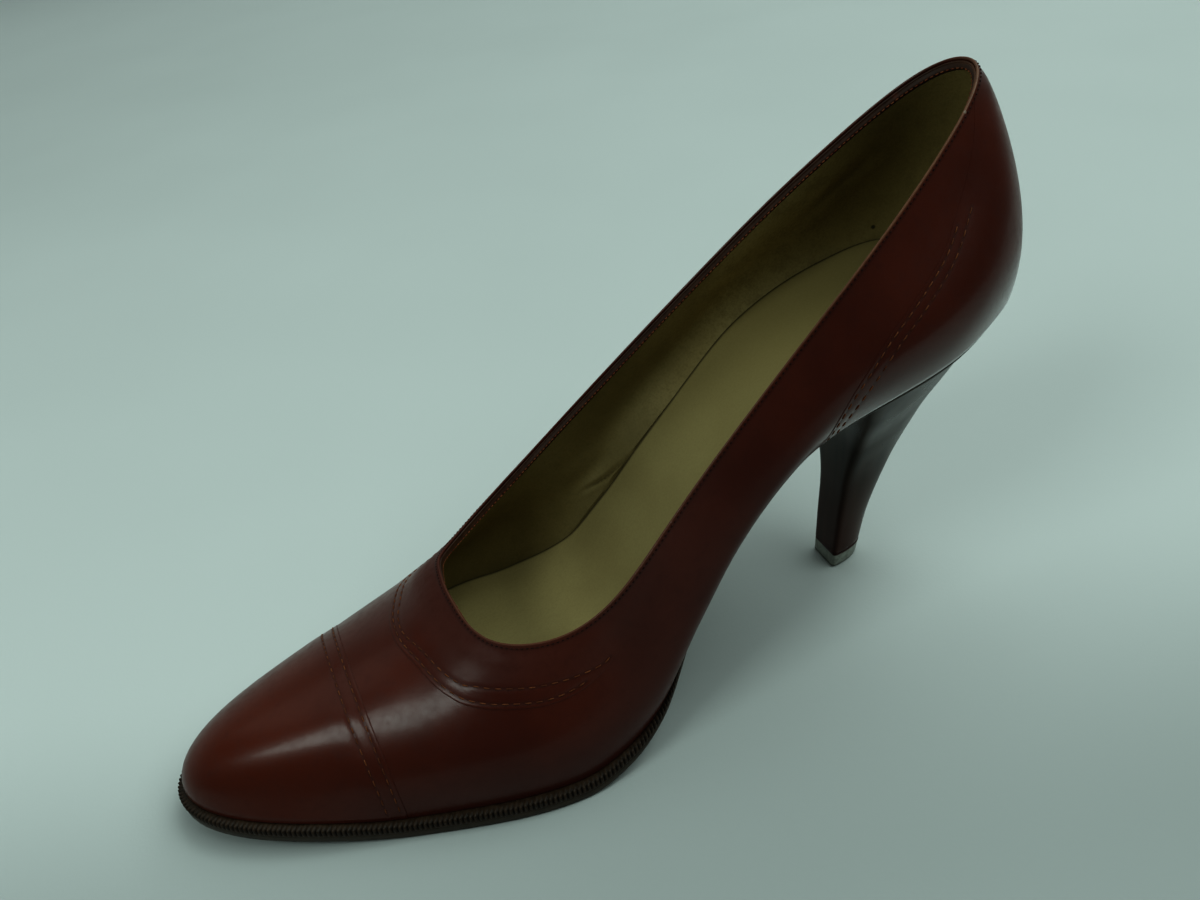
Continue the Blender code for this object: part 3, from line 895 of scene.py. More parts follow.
def throat_shape():
    steps, rows, deepest = THROAT_GRID
    start = THROAT_SEAM[0][0] + THROAT_INSET
    places = np.linspace(start, TURN - start, steps)
    low = throat_edge_rise(near_turn(places))
    high = rises_below_rim(places, [THROAT_TOP])[0]
    return laid_over(places, low + (high - low) * edge_shares(rows, deepest)[:, None], "throat")


def counter_shape():
    rise = np.unique(np.concatenate([np.linspace(*part) for part in COUNTER_RISES]))[:, None]
    half = edge_shares(*COUNTER_GRID)
    across = np.concatenate([half - 1, (1 - half[:-1])[::-1]])
    return laid_over(counter_reach(rise) * across, rise, "counter")


# Stitches


def row_height(turn, rise):
    """Height of whichever leather lies on top along a row near the rim."""
    marks = marks_at(turn, rise)
    side = near_turn(turn)
    covered = (rise < 1) & (side > THROAT_SEAM[0][0]) & (rise > throat_edge_rise(side))
    covered |= side < counter_reach(rise)
    return np.where(covered, leather_height(marks, True), leather_height(marks, False))


def held_by(edge):
    """Height of the laid-over leather along the rows that hold its edge."""
    return lambda turn, rise: leather_height(marks_at(turn, rise, edge), True)


def on_strip(turn, rise):
    """Height of the strip's face along its row, below the upper's surface."""
    return np.full(turn.shape, -strip_face(STRIP_ROW))


def one_stitch(half, thick, sink):
    """A short thread that dips at both ends: places along, beside and above its middle, and its faces."""
    place, girth = columns(STITCH_RINGS)
    girth = girth * thick
    angle = np.linspace(0, 2 * np.pi, STITCH_SIDES, endpoint=False)
    place = np.repeat(place, STITCH_SIDES)
    dip = np.outer(girth, np.sin(angle)).ravel() - sink * place**4
    along = np.concatenate([place * half, [-STITCH_TIP * half, STITCH_TIP * half]])
    beside = np.concatenate([np.outer(girth, np.cos(angle)).ravel(), [0, 0]])
    above = np.concatenate([dip, [-STITCH_TIP_DIP * sink] * 2])
    count = len(along)
    last = count - 2 - STITCH_SIDES
    faces = band_faces(len(STITCH_RINGS), STITCH_SIDES, True, False)
    for step in range(STITCH_SIDES):
        after = (step + 1) % STITCH_SIDES
        faces += [(count - 2, after, step), (count - 1, last + step, last + after)]
    return along[:, None], beside[:, None], above[:, None], faces


def stitches(rows, height_of, sizes, face=1.0):
    """Rows of stitches lying on the leather, or on its inside where face is -1."""
    spacing, half, thick, sink = sizes
    along, beside, above, stitch_faces = one_stitch(half, thick, sink)
    points, faces = [], []
    for turn, rise in rows:
        out = outward(turn, rise)
        line = surface(turn, rise) + out * height_of(turn, rise)[:, None]
        run = run_along(line)
        number = int(run[-1] / spacing)
        middle = (np.arange(number) + 0.5) * run[-1] / number

        def at(values, place):
            return np.stack([np.interp(place, run, values[:, axis]) for axis in range(3)], -1)

        forward = unit(at(line, middle + STITCH_AIM) - at(line, middle - STITCH_AIM))
        up = unit(at(out, middle)) * face
        side = np.cross(up, forward)
        centre = at(line, middle) + up * thick * 0.5
        made = centre[:, None] + forward[:, None] * along + side[:, None] * beside + up[:, None] * above
        for stitch in made:
            faces += shifted(stitch_faces, len(points) * len(stitch))
            points.append(stitch)
    return (np.concatenate(points), faces), {}


# The insole, sole, welt and heel


def insole_shape():
    places = evenly(ROUND_STEPS)
    foot, out = foot_line(places)
    wall = skin(places, INSOLE_WALL[:, None], -WALL)
    height = wall[..., 2] - sole_line(wall[..., 0])
    reach = ((wall - foot) * out).sum(-1)
    lean = np.clip((outward(places, LEAN_RISE) * out).sum(-1), LEAN_LEAST, 1)

    def ring(level):
        found = [np.interp(level, height[:, step], reach[:, step]) for step in range(len(places))]
        edge = foot + out * (np.array(found) - INSOLE_GAP / lean)[:, None]
        return level_with_bottom(edge, -level)

    top_edge = INSOLE_THICK - INSOLE_EDGE
    near = np.array(INSOLE_ACROSS)
    across = np.concatenate([near, [0.5], 1 - near[::-1]])
    rings = [ring(level) for level in (*INSOLE_LEVELS, top_edge)]
    top = rungs(rings[-1], across)
    width = np.linalg.norm(top[:, 0] - top[:, -1], axis=-1)[:, None]
    from_edge = np.minimum(across, 1 - across) * width
    inner = (1 - np.abs(2 * across - 1) ** 2) * smooth_step(width, 0, INSOLE_NARROW)
    x = top[..., 0]
    pressed = sum(np.exp(-(((x - middle) / breadth) ** 2)) for middle, breadth in FOOT_PRINTS)
    crown = INSOLE_EDGE * quarter_round(from_edge / INSOLE_ROUND)
    spread = np.linspace(-INSOLE_EVEN, INSOLE_EVEN, EVEN_STEPS)
    evened = np.mean([sole_line(x + step) for step in spread], axis=0) - sole_line(x)
    evened = evened * smooth_step(x, *EVEN_FROM) * (1 - smooth_step(x, *EVEN_TO))
    top = level_with_bottom(top, -(top_edge + crown + inner * (evened - FOOT_PRINT * pressed)))
    low = level_with_bottom(rungs(rings[0], np.linspace(0, 1, INSOLE_BASE)), -INSOLE_LEVELS[0])
    hidden = np.zeros(len(rings) * ROUND_STEPS + low[..., 0].size)
    return closed_stack(rings, low, top), {"from_edge": np.concatenate([hidden, from_edge.ravel()])}


def welt_room(x):
    """Depth of the outsole's rim below the sole line, with room for the welt above it."""
    thick = welt_thick(x)
    return PIECE_GAP + thick + WELT_BED * np.clip(thick / WELT_THIN, 0, 1)


def outsole_shape():
    places = evenly(ROUND_STEPS)
    foot, out = foot_line(places)
    edge = edge_rows(places)[:, 0]

    def ring(stand, depth_of, lower):
        points = foot + out * (edge + stand)[:, None]
        return level_with_bottom(points, depth_of(points[:, 0]) + lower)

    rings = [ring(stand, sole_depth, -lift) for stand, lift in SOLE_ROUND]
    rings += [ring(stand, welt_room, below) for stand, below in SOLE_CORNER]
    across = np.linspace(0, 1, SOLE_ACROSS)
    low = rungs(rings[0], across)
    low = level_with_bottom(low, sole_depth(low[..., 0]))
    high = rungs(rings[-1], across)
    high = level_with_bottom(high, welt_room(high[..., 0]))
    rim = np.repeat([-stand for stand, lift in SOLE_ROUND] + [0.0] * len(SOLE_CORNER), ROUND_STEPS)
    width = np.linalg.norm(low[:, 0] - low[:, -1], axis=-1)[:, None]
    under = np.minimum(across, 1 - across) * width - SOLE_ROUND[0][0]
    marks = {"from_edge": np.concatenate([rim, under.ravel(), np.zeros(high[..., 0].size)])}
    return closed_stack(rings, low, high), marks


def welt_shape():
    fine = np.linspace(WELT_END, TURN - WELT_END, WELT_SEARCH)
    foot, out = foot_line(fine)
    run = run_along(foot + out * edge_rows(fine)[:, 1:])
    count = round(run[-1] / RIB_PITCH) * RIB_STEPS + 1
    places = np.interp(np.linspace(0, run[-1], count), run, fine)
    wave = 0.5 - 0.5 * np.cos(2 * np.pi * np.arange(count) / RIB_STEPS)
    groove = 1 - wave**RIB_FULLNESS
    foot, out = foot_line(places)
    edge = edge_rows(places)[:, 1]
    thick = welt_thick(foot[:, 0])
    full = smooth_step(thick, *RIB_GROWS)
    cut_in = RIB_DEEP * full * groove
    rows, marks = [], []
    for down, inward, cut_share, dip in WELT_PROFILE:
        stand = edge - inward * np.clip(thick / WELT_THICK[-1][1], WELT_LEAST, 1) - cut_in * cut_share
        ring = foot + out * stand[:, None]
        rows.append(level_with_bottom(ring, PIECE_GAP + thick * down + cut_in * dip))
        marks.append(groove * full * max(cut_share, dip))
    ring = foot - out * WELT_INSIDE
    for down in (1.0, 0.0):
        rows.append(level_with_bottom(ring, PIECE_GAP + welt_thick(ring[:, 0]) * down))
        marks.append(np.zeros(count))
    faces = band_faces(len(rows), count, False, True)
    first = [row * count for row in range(len(rows))]
    faces += [tuple(first), tuple(corner + count - 1 for corner in first[::-1])]
    return (np.concatenate(rows), faces), {"groove": np.concatenate(marks)}


def heel_outline(share, breast, back, half):
    """One level of the heel: rounded at the walking end, shaped like the seat higher up."""
    foot, out = foot_line(np.linspace(-HEEL_REACH, HEEL_REACH, HEEL_ROUND))
    seat = foot - out * HEEL_INSET
    seat_x = (seat[:, 0] - seat[:, 0].min()) / (seat[:, 0].max() - seat[:, 0].min())
    seat_y = seat[:, 1] / np.abs(seat[:, 1]).max()
    angle = np.linspace(0, np.pi, HEEL_ROUND)
    blend = share**HEEL_BLEND
    x = back + (breast - back) * ((1 - blend) * (1 - np.sin(angle)) + blend * seat_x)
    y = half * (-(1 - blend) * np.cos(angle) + blend * seat_y)
    step = np.linspace(0, 1, HEEL_BREAST + 2)[1:-1]
    return [
        round_corners(np.concatenate([line, line[-1] + (line[0] - line[-1]) * step])) for line in (x, y)
    ]


def round_corners(values):
    """Eases the two upright corners beside the heel breast."""
    size = len(values)
    place = np.arange(size)
    ease = np.zeros(size)
    for corner in (0, HEEL_ROUND - 1):
        gap = np.minimum((place - corner) % size, (corner - place) % size)
        ease = np.maximum(ease, np.exp(-((gap / CORNER_WIDE) ** 2)))
    for _ in range(CORNER_PASSES):
        values = values + 0.5 * ease * ((np.roll(values, 1) + np.roll(values, -1)) / 2 - values)
    return values


def heel_levels(shares):
    share, *sizes = columns(HEEL)
    found = [level_curve(share, column)(shares) for column in sizes]
    return [(level, *heel_outline(level, *here)) for level, *here in zip(shares, *found)]


def shrunk(ring, amount):
    """A ring pulled in towards its middle by a level distance."""
    away = ring - ring.mean(0)
    away[:, 2] = 0
    reach = np.linalg.norm(away, axis=-1, keepdims=True)
    return ring - away / reach * np.minimum(amount, reach * SHRINK_LIMIT)


def raised(ring, height):
    return ring + np.array((0, 0, height))


def heel_shape():
    rings = []
    foot_level = LIFT_THICK + HEEL_LIFT_GAP
    for share, x, y in heel_levels(np.linspace(HEEL_START, 1.0, HEEL_LEVELS)):
        climb = (share - HEEL_START) / (1 - HEEL_START)
        seat = sole_line(x) - sole_depth(x) - HEEL_SEAT_GAP
        rings.append(np.stack([x, y, foot_level + climb * (seat - foot_level)], -1))
    seat_in, seat_down = HEEL_SEAT_BEVEL
    low = shrunk(rings[0], HEEL_FOOT_BEVEL)
    high = shrunk(rings[-1], seat_in)
    rings[0] = raised(rings[0], HEEL_FOOT_BEVEL)
    rings[-1] = raised(rings[-1], -seat_down)
    return fan([shrunk(low, HEEL_FOOT_IN), low] + rings + [high]), {}


def lift_shape():
    rings = []
    for share, x, y in heel_levels(np.linspace(0.0, HEEL_START, LIFT_LEVELS)):
        rings.append(np.stack([x, y, np.full_like(x, LIFT_THICK * share / HEEL_START)], -1))
    tread = [raised(shrunk(rings[0], inward), height) for inward, height in LIFT_TREAD]
    top = [raised(shrunk(rings[-1], inward), height) for inward, height in LIFT_TOP]
    return fan(tread + rings[1:-1] + top), {}


# Finishes


class Value:
    """One socket of a finish. Arithmetic on values adds Math nodes."""

    def __init__(self, finish, socket):
        self.finish = finish
        self.socket = socket

    def maths(self, operation, first, second):
        return self.finish.node("ShaderNodeMath", {"operation": operation}, {0: first, 1: second})

    def __add__(self, other):
        return self.maths("ADD", self, other)

    def __radd__(self, other):
        return self.maths("ADD", other, self)

    def __sub__(self, other):
        return self.maths("SUBTRACT", self, other)

    def __rsub__(self, other):
        return self.maths("SUBTRACT", other, self)

    def __mul__(self, other):
        return self.maths("MULTIPLY", self, other)

    def __rmul__(self, other):
        return self.maths("MULTIPLY", other, self)


class Finish:
    """A material, with the few node setups that the shoe's finishes share."""

    def __init__(self, owner):
        self.material = owner
        owner.use_nodes = True
        self.tree = owner.node_tree

    def node(self, kind, settings=None, sockets=None, result=0):
        """Adds a node, sets it up, then fills or links its sockets."""
        made = self.tree.nodes.new(kind)
        for name, value in (settings or {}).items():
            setattr(made, name, value)
        for name, value in (sockets or {}).items():
            self.fill(made.inputs[name], value)
        return Value(self, made.outputs[result])

    def fill(self, socket, value):
        if isinstance(value, Value):
            self.tree.links.new(value.socket, socket)
        else:
            socket.default_value = value

    def place(self, stretch=(1, 1, 1)):
        """Where a point of the piece lies, in millimetres, squeezed or stretched along the axes."""
        where = self.node("ShaderNodeTexCoord", result="Object")
        size = tuple(1000 * share for share in stretch)
        return self.node("ShaderNodeVectorMath", {"operation": "MULTIPLY"}, {0: where, 1: size})

    def along(self, axis):
        return self.node("ShaderNodeSeparateXYZ", None, {0: self.place()}, axis)

    def mark(self, name):
        """A distance stored on the piece."""
        return self.node("ShaderNodeAttribute", {"attribute_name": name}, None, "Fac")

    def noise(self, place, per_mm, detail=2.0, rough=0.5):
        values = {"Vector": place, "Scale": per_mm, "Detail": detail, "Roughness": rough}
        return self.node("ShaderNodeTexNoise", None, values)

    def cells(self, place, per_mm):
        return self.node("ShaderNodeTexVoronoi", {"feature": "F1"}, {"Vector": place, "Scale": per_mm})

    def fade(self, value, low=0.3, high=0.7, start=0.0, end=1.0):
        """Goes softly from start to end while the value goes from low to high."""
        values = {"Value": value, "From Min": low, "From Max": high, "To Min": start, "To Max": end}
        return self.node("ShaderNodeMapRange", {"interpolation_type": "SMOOTHSTEP"}, values)

    def fade_out(self, value, low, high, start=1.0):
        return self.fade(value, low, high, start, 0.0)

    def lengthwise(self, stretch, start=0.0, end=1.0):
        """Goes softly from start to end over a named stretch of the shoe's length."""
        return self.fade(self.along(0), *STRETCHES[stretch], start, end)

    def sideways(self, start=0.0):
        """Goes softly from start on the medial side to 1 on the lateral side."""
        return self.fade(self.along(1), *SIDES, start)

    def mix(self, share, first, second):
        """Goes from the first colour to the second by a share."""
        ends = [end if isinstance(end, Value) else (*end, 1.0) for end in (first, second)]
        return self.node("ShaderNodeMix", {"data_type": "RGBA"}, {0: share, 6: ends[0], 7: ends[1]}, 2)

    def layered(self, pale_share, colours, shares):
        """Mixes the deep and pale colours, then lays others over them in turn, each by its own share."""
        tone = self.mix(pale_share, colours["deep"], colours["pale"])
        for name, share in shares.items():
            tone = self.mix(share, tone, colours[name])
        return tone

    def spot(self, middle, radius):
        """1 at a point of the shoe, fading to 0 at a radius from it."""
        ends = {0: self.place(), 1: tuple(np.asarray(middle) - FRAME_SHIFT)}
        gap = self.node("ShaderNodeVectorMath", {"operation": "DISTANCE"}, ends, "Value")
        return self.fade_out(gap, radius * SPOT_FULL, radius)

    def bump(self, height, deep, strength=1.0):
        """Turns a height from 0 to 1 into relief of that depth in millimetres."""
        values = {"Height": height, "Distance": deep / 1000, "Strength": strength}
        return self.node("ShaderNodeBump", None, values)

    def surface(self, **sockets):
        shader = self.tree.nodes["Principled BSDF"]
        for name, value in sockets.items():
            self.fill(shader.inputs[name.replace("_", " ")], value)
        return self


def new_finish(name):
    return Finish(bpy.data.materials.new(name))


def oxblood_leather():
    """Smooth red-brown leather: slow changes of tone, fine pores, painted shade along seams and below the
    rim, a pale rim that is partly rubbed and partly a painted highlight.
    """
    finish = new_finish("oxblood_leather")
    place = finish.place()
    cloud = finish.noise(place, 0.04, 3.0)
    mottle = finish.noise(place, 0.5, 4.0, 0.6)
    pores = finish.cells(place, 2.4)
    grain = finish.noise(place, 3.2, 3.0, 0.6)
    from_rim = finish.mark("from_rim")
    from_sole = finish.mark("from_sole")
    # Painted shade: darker along the stitch rows, in the troughs they pull into the leather.
    row_shade = finish.fade_out(finish.mark("from_row"), 0.1, 0.6)
    # Painted shade: darker along the cut edge of laid-over leather, where its step stands proud of the upper.
    edge_step_shade = finish.fade_out(finish.mark("from_edge"), 0.05, 0.25) * (1.0 - finish.mark("pared"))
    # The pale rim is partly rubbing of the folded edge and partly a painted highlight; its strength on the
    # lateral side is painted light.
    rubbed = finish.fade_out(from_rim, 0.0, 0.6) * finish.fade(mottle, 0.2, 0.6, 0.5, 1.0)
    rubbed = rubbed * finish.sideways(0.15) * finish.lengthwise("rim paleness eases", 1.0, 0.4)
    # Painted shade: a dark band just below the rim's rounded edge, along the collar row.
    shade_under_rim = finish.fade(from_rim, 0.7, 1.0) * finish.fade_out(from_rim, 1.1, 1.6)
    speck = finish.spot(*SPECKS[0]) + finish.spot(*SPECKS[1])
    # Darker towards the sole line, less so towards the toe.
    darker_low = finish.fade_out(from_sole, 2.0, 26.0, 0.5) * finish.lengthwise("low darkening eases", 1.0, 0.7)
    flexed = finish.fade_out(from_rim, 4.0, 12.0) * finish.lengthwise("vamp flexed")
    buffed = finish.fade_out(from_sole, 1.0, 16.0) * finish.lengthwise("counter buffed")
    tone = finish.layered(finish.fade(cloud, 0.35, 0.68), OXBLOOD, {
        "toe": finish.lengthwise("toe reddens") * (0.55 + 0.45 * cloud),
        "mottle": finish.fade(mottle, 0.45, 0.75, 0.0, 0.25),
        "row_shade": row_shade * 0.35,
        "cut edge": edge_step_shade * 0.3,
        "rubbed and lit rim": rubbed * 0.7,
        "shade under rim": shade_under_rim * 0.3,
        "speck": speck * 0.6,
        "darker_low": darker_low,
    })
    rough = finish.fade(mottle, 0.3, 0.75, 0.28, 0.38) + row_shade * 0.2 + edge_step_shade * 0.2 + rubbed * 0.15
    return finish.surface(
        Base_Color=tone, Roughness=rough + 0.32 * flexed,
        Normal=finish.bump(0.55 * grain + 0.45 * pores, 0.016, 0.6), Specular_IOR_Level=0.28,
        Coat_Weight=0.06 - 0.05 * flexed + 0.94 * buffed, Coat_Roughness=0.16, Coat_IOR=2.0,
    )


def waxed_thread(name, deep, pale):
    """Waxed thread with a twist, its tone uneven along the row."""
    finish = new_finish(name)
    twist = finish.noise(finish.place(), 4.0, 2.0)
    worn = finish.noise(finish.place(), 0.35, 2.0)
    return finish.surface(
        Base_Color=finish.mix(finish.fade(worn) * (0.5 + 0.5 * twist), deep, pale),
        Roughness=0.6 - 0.1 * twist, Normal=finish.bump(twist, 0.05), Specular_IOR_Level=0.2,
    )


def lining_leather():
    """Olive tan lining, matt, rubbed darker towards the heel, with painted shade towards the front and in the
    troughs of its folds.
    """
    finish = new_finish("lining_leather")
    place = finish.place()
    cloud = finish.noise(place, 0.05, 3.0)
    grain = finish.noise(place, 1.6, 4.0, 0.65)
    pores = finish.cells(place, 1.5)
    mottle = finish.noise(place, 0.2, 5.0, 0.62)
    middle = finish.lengthwise("lining middle begins") * finish.lengthwise("lining middle ends", 1.0, 0.0)
    tone = finish.layered(finish.fade(cloud), LINING, {
        "heel": finish.lengthwise("lining heel") * (0.5 + 0.5 * cloud) * 0.6,
        "middle": middle * 0.7,
        # Painted shade: darker towards the front, where the lining runs in under the vamp.
        "front": finish.lengthwise("lining front in shade", 0.0, 0.55),
        "mottle": finish.fade(mottle, 0.42, 0.68, 0.0, 0.4),
        "grain": finish.fade(grain, 0.4, 0.7, 0.0, 0.3),
        # Painted shade: darker in the troughs of the folds.
        "fold": finish.fade(finish.mark("fold"), 0.1, 0.6) * 0.5,
        "nick": finish.spot(*LINING_NICK) * 0.85,
    })
    return finish.surface(
        Base_Color=tone, Roughness=finish.fade(grain, start=0.58, end=0.72),
        Normal=finish.bump(0.35 * grain + 0.2 * pores + 3.0 * mottle, 0.08, 0.7), Specular_IOR_Level=0.3,
    )


def strip_leather():
    """The dark brown strip inside the collar, paler along its folded top towards the lateral side: partly its
    worn edge, partly a painted highlight.
    """
    finish = new_finish("strip_leather")
    place = finish.place()
    mottle = finish.noise(place, 0.7, 4.0, 0.6)
    grain = finish.noise(place, 3.0, 3.0)
    tone = finish.layered(finish.fade(mottle), STRIP, {
        # Painted highlight in part: the pale top fades out towards the medial side.
        "top": finish.fade_out(finish.mark("from_rim"), 0.1, 1.0) * finish.sideways() * 0.7,
        "scuff": finish.spot(*STRIP_SCUFF) * 0.7,
    })
    return finish.surface(
        Base_Color=tone, Roughness=finish.fade(mottle, start=0.42, end=0.55),
        Normal=finish.bump(grain, 0.03, 0.6), Specular_IOR_Level=0.35,
    )


def sock_leather():
    """The tan sock under the foot, matt, with a foot's soft grey wear and painted shade along its edge where
    the lining meets it.
    """
    finish = new_finish("sock_leather")
    place = finish.place()
    cloud = finish.noise(place, 0.06, 3.0)
    grain = finish.noise(place, 1.8, 4.0, 0.65)
    brushed = finish.noise(finish.place((0.25, 1, 1)), 1.1, 3.0)
    tone = finish.layered(finish.fade(cloud), SOCK, {
        "heel": finish.lengthwise("sock heel", 0.75, 0.0),
        "brushed": finish.fade(brushed, 0.4, 0.75) * 0.15,
        "worn": finish.lengthwise("sock worn") * finish.fade(cloud, 0.3, 0.65) * 0.1,
        "grain": finish.fade(grain, 0.4, 0.7, 0.0, 0.18),
        # Painted shade: darker along the edge, where the lining tucks under it.
        "edge": finish.fade_out(finish.mark("from_edge"), 0.3, 1.3, 0.85),
    })
    return finish.surface(
        Base_Color=tone, Roughness=finish.fade(grain, start=0.55, end=0.7),
        Normal=finish.bump(0.7 * grain + 0.3 * brushed, 0.045, 0.7), Specular_IOR_Level=0.3,
    )


def welt_leather():
    """Near-black waxed strip with painted shade in the grooves between its ribs."""
    finish = new_finish("welt_leather")
    mottle = finish.noise(finish.place(), 0.6, 4.0, 0.6)
    # Painted shade: the grooves between the ribs are darkened by this mark.
    groove = finish.mark("groove")
    return finish.surface(
        Base_Color=finish.layered(finish.fade(mottle), WELT, {"groove": groove * 0.85}),
        Roughness=finish.fade(mottle, start=0.42, end=0.55) + 0.3 * groove,
        Normal=finish.bump(mottle, 0.05, 0.6), Specular_IOR_Level=0.35,
    )


def sole_leather():
    """Dark waxed edge; a brown underside, scuffed where it has been walked on."""
    finish = new_finish("sole_leather")
    place = finish.place()
    mottle = finish.noise(place, 0.35, 5.0, 0.6)
    scratch = finish.noise(finish.place((0.4, 1.1, 1)), 0.55, 6.0, 0.72)
    fibre = finish.noise(place, 2.2, 4.0, 0.7)
    under = finish.fade(finish.mark("from_edge"), 0.4, 1.5)
    walked = finish.lengthwise("tread begins") * finish.lengthwise("tread ends", 1.0, 0.0) * under
    rubbed = walked * finish.fade(scratch, 0.4, 0.72)
    colours = {**SOLE, "under": finish.mix(mottle, SOLE["under deep"], SOLE["under pale"])}
    tone = finish.layered(finish.fade(mottle), colours, {"under": under, "walked": rubbed * 0.75})
    return finish.surface(
        Base_Color=tone, Roughness=0.42 + 0.08 * mottle + 0.3 * rubbed,
        Normal=finish.bump(0.5 * fibre + 0.5 * scratch, 0.06, 0.6), Specular_IOR_Level=0.4,
    )


def heel_gloss():
    """Glossy dark brown heel with faint upright streaks, redder towards the walking end."""
    finish = new_finish("heel_gloss")
    streak = finish.noise(finish.place((1, 1, 0.03)), 0.3, 3.0, 0.5)
    grain = finish.noise(finish.place(), 1.6, 3.0)
    cloud = finish.noise(finish.place(), 0.08, 2.0)
    low = finish.fade_out(finish.along(2), 6, 40)
    tone = finish.layered(finish.fade(streak, 0.2, 0.8), GLOSS, {"low": low * (0.4 + 0.6 * streak)})
    return finish.surface(
        Base_Color=tone, Roughness=finish.fade(cloud, start=0.26, end=0.36),
        Normal=finish.bump(grain, 0.006, 0.4),
        Specular_IOR_Level=0.22, Coat_Weight=0.06, Coat_Roughness=0.12,
    )


def lift_rubber():
    """The worn grey lift: a red-brown line under the heel, paler rubbed sides, darker along the tread."""
    finish = new_finish("lift_rubber")
    mottle = finish.noise(finish.place(), 0.9, 4.0, 0.65)
    height = finish.along(2)
    tone = finish.layered(finish.fade(mottle), RUBBER, {
        "tread": finish.fade_out(height, 0.1, 1.3, 0.75),
        "top": finish.fade(height, 3.9, 4.3),
    })
    return finish.surface(
        Base_Color=tone, Roughness=finish.fade(mottle, start=0.32, end=0.5),
        Normal=finish.bump(mottle, 0.04, 0.6), Specular_IOR_Level=0.5,
    )


def pale_cloth():
    """The plain pale floor, with painted shade in front of the shoe and painted light far away."""
    finish = new_finish("pale_cloth")
    place = finish.place()
    weave = finish.noise(place, 1.2, 2.0)
    cloud = finish.noise(place, 0.006, 2.0)
    # Painted shade: the floor darkens in front of the shoe.
    front_x, front_y = FLOOR_FRONT_WAY
    ahead = front_x * finish.along(0) + front_y * finish.along(1)
    # Painted light: the floor pales far away, against the falloff of the lamps.
    away = finish.node("ShaderNodeVectorMath", {"operation": "LENGTH"}, {0: place}, "Value")
    tone = finish.layered(cloud, CLOTH, {
        "in front": finish.fade(ahead, *FLOOR_FRONT), "far": finish.fade(away, *FLOOR_FAR),
    })
    return finish.surface(
        Base_Color=tone, Roughness=0.9, Normal=finish.bump(weave, 0.05, 0.5), Specular_IOR_Level=0.1,
    )


# Putting the shoe together

oxblood = oxblood_leather()
seam_thread = waxed_thread("seam_thread", *SEAM_THREAD)
collar_thread = waxed_thread("collar_thread", *COLLAR_THREAD)
strip_thread = waxed_thread("strip_thread", *STRIP_THREAD)

add_piece("upper_leather", upper_shape(), oxblood, ["upper"])
add_piece("lining", lining_shape(), lining_leather(), ["upper"])
add_piece("collar_strip", strip_shape(), strip_leather(), ["upper"])
add_piece("cap_leather", cap_shape(), oxblood, ["toe_cap"])
add_piece("throat_leather", throat_shape(), oxblood, ["throat_piece"])
add_piece("counter_leather", counter_shape(), oxblood, ["counter"])

for edge, rows in ROWS.items():
    made = stitches(rows, held_by(edge), SEAM_STITCH)
    add_piece(edge + "_stitches", made, seam_thread, sharp=SHARP_THREAD)
made = stitches([collar_row], row_height, COLLAR_STITCH)
add_piece("collar_stitches", made, collar_thread, sharp=SHARP_THREAD)
made = stitches([strip_row], on_strip, STRIP_STITCH, -1.0)
add_piece("strip_stitches", made, strip_thread, sharp=SHARP_THREAD)

add_piece("insole_sock", insole_shape(), sock_leather(), ["insole"])
add_piece("ribbed_welt", welt_shape(), welt_leather(), ["welt"], SHARP_RIB)
add_piece("leather_sole", outsole_shape(), sole_leather(), ["outsole"])
add_piece("heel_block", heel_shape(), heel_gloss(), ["heel"])
add_piece("heel_lift", lift_shape(), lift_rubber(), ["top_piece"])


# Floor, light and camera


def direction(turn, rise):
    """A direction from its angle round the shoe and its angle above the floor, in degrees."""
    turn, rise = math.radians(turn), math.radians(rise)
    return np.array((math.cos(rise) * math.cos(turn), math.cos(rise) * math.sin(turn), math.sin(rise)))


def room_light(glow):
    return tuple(glow * share for share in LIGHT_TINT)


def add_placed(name, data, right, up, back, origin):
    """A light or camera in the scene, set up by its own three axes and its place in metres."""
    placed = np.eye(4)
    placed[:3] = np.stack([right, up, back, origin], -1)
    made = bpy.data.objects.new(name, data)
    made.matrix_world = Matrix(placed.tolist())
    bpy.context.scene.collection.objects.link(made)
    return made


def add_floor():
    angle = np.linspace(0, 2 * np.pi, FLOOR_STEPS, endpoint=False)
    ring = np.stack([np.cos(angle), np.sin(angle), np.zeros(FLOOR_STEPS)], -1)
    points = np.concatenate([[(0, 0, 0)], ring * FLOOR_INNER, ring * FLOOR_REACH])
    faces = [(0, 1 + step, 1 + (step + 1) % FLOOR_STEPS) for step in range(FLOOR_STEPS)]
    faces += shifted(band_faces(2, FLOOR_STEPS, True, False), 1)
    floor = add_mesh("floor", points, faces, pale_cloth())


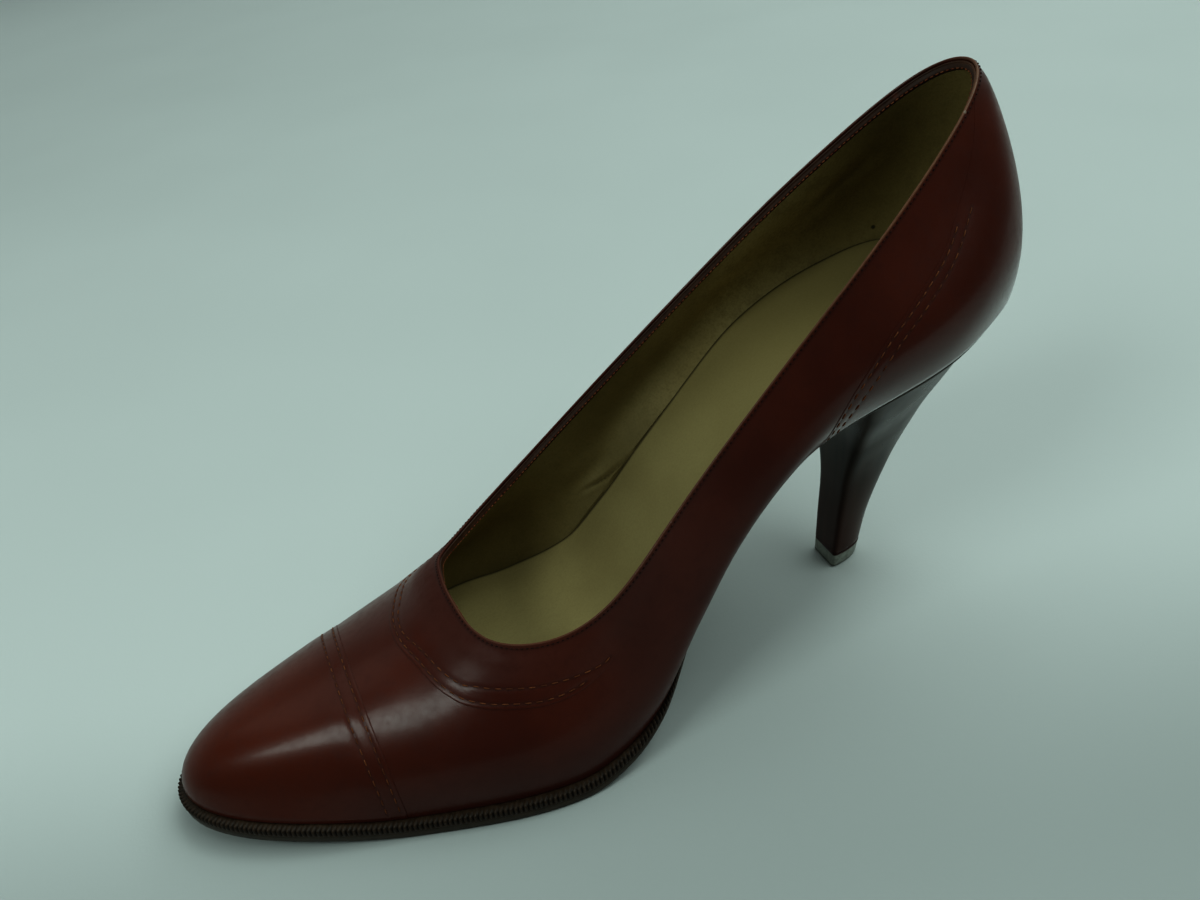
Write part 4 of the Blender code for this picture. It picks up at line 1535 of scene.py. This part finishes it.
def add_panel(name, turn, rise, away, wide, high, glow):
    """A soft light panel that faces the shoe. Glow is its brightness."""
    lamp = bpy.data.lights.new(name, "AREA")
    lamp.shape = "RECTANGLE"
    lamp.size, lamp.size_y = wide, high
    lamp.energy = glow * math.pi * wide * high
    lamp.color = LIGHT_TINT
    toward = direction(turn, rise)
    side = unit(np.cross((0, 0, 1.0), toward))
    add_placed(name, lamp, side, np.cross(toward, side), toward, to_frame(PANEL_AIM) + toward * away)


def add_surround():
    """Pale light from all round: brightest behind the shoe, dim overhead and in front."""
    world = bpy.data.worlds.new("surround")
    bpy.context.scene.world = world
    sky = Finish(world)
    where = sky.node("ShaderNodeTexCoord", result="Generated")
    height = sky.node("ShaderNodeSeparateXYZ", None, {0: where}, 2)
    across = sky.node("ShaderNodeSeparateXYZ", None, {0: where}, 1)
    round_about = sky.mix(sky.fade(across, *SKY_ACROSS), room_light(SKY_BEHIND), room_light(SKY_FRONT))
    tone = sky.mix(sky.fade(height, *SKY_RISE), round_about, room_light(SKY_OVERHEAD))
    sky.fill(sky.tree.nodes["Background"].inputs["Color"], tone)


def add_camera():
    roll = math.radians(CAMERA_ROLL)
    back = direction(CAMERA_TURN, CAMERA_RISE)
    level = unit(np.cross(-back, (0, 0, 1.0)))
    upright = np.cross(level, -back)
    right = math.cos(roll) * level + math.sin(roll) * upright
    up = -math.sin(roll) * level + math.cos(roll) * upright
    lens = bpy.data.cameras.new("photo_camera")
    lens.sensor_width = SENSOR_WIDE
    lens.sensor_fit = "HORIZONTAL"
    lens.lens = SENSOR_WIDE * CAMERA_FOCUS / IMAGE_WIDE
    lens.clip_start = CAMERA_NEAR
    origin = to_frame(np.array(CAMERA_AIM) + CAMERA_AWAY * back)
    bpy.context.scene.camera = add_placed("photo_camera", lens, right, up, back, origin)


add_floor()
add_surround()
for name, sizes in PANELS.items():
    add_panel(name, *sizes)
add_camera()
bpy.context.scene.view_settings.view_transform = "Standard"
bpy.context.scene.view_settings.look = "High Contrast"
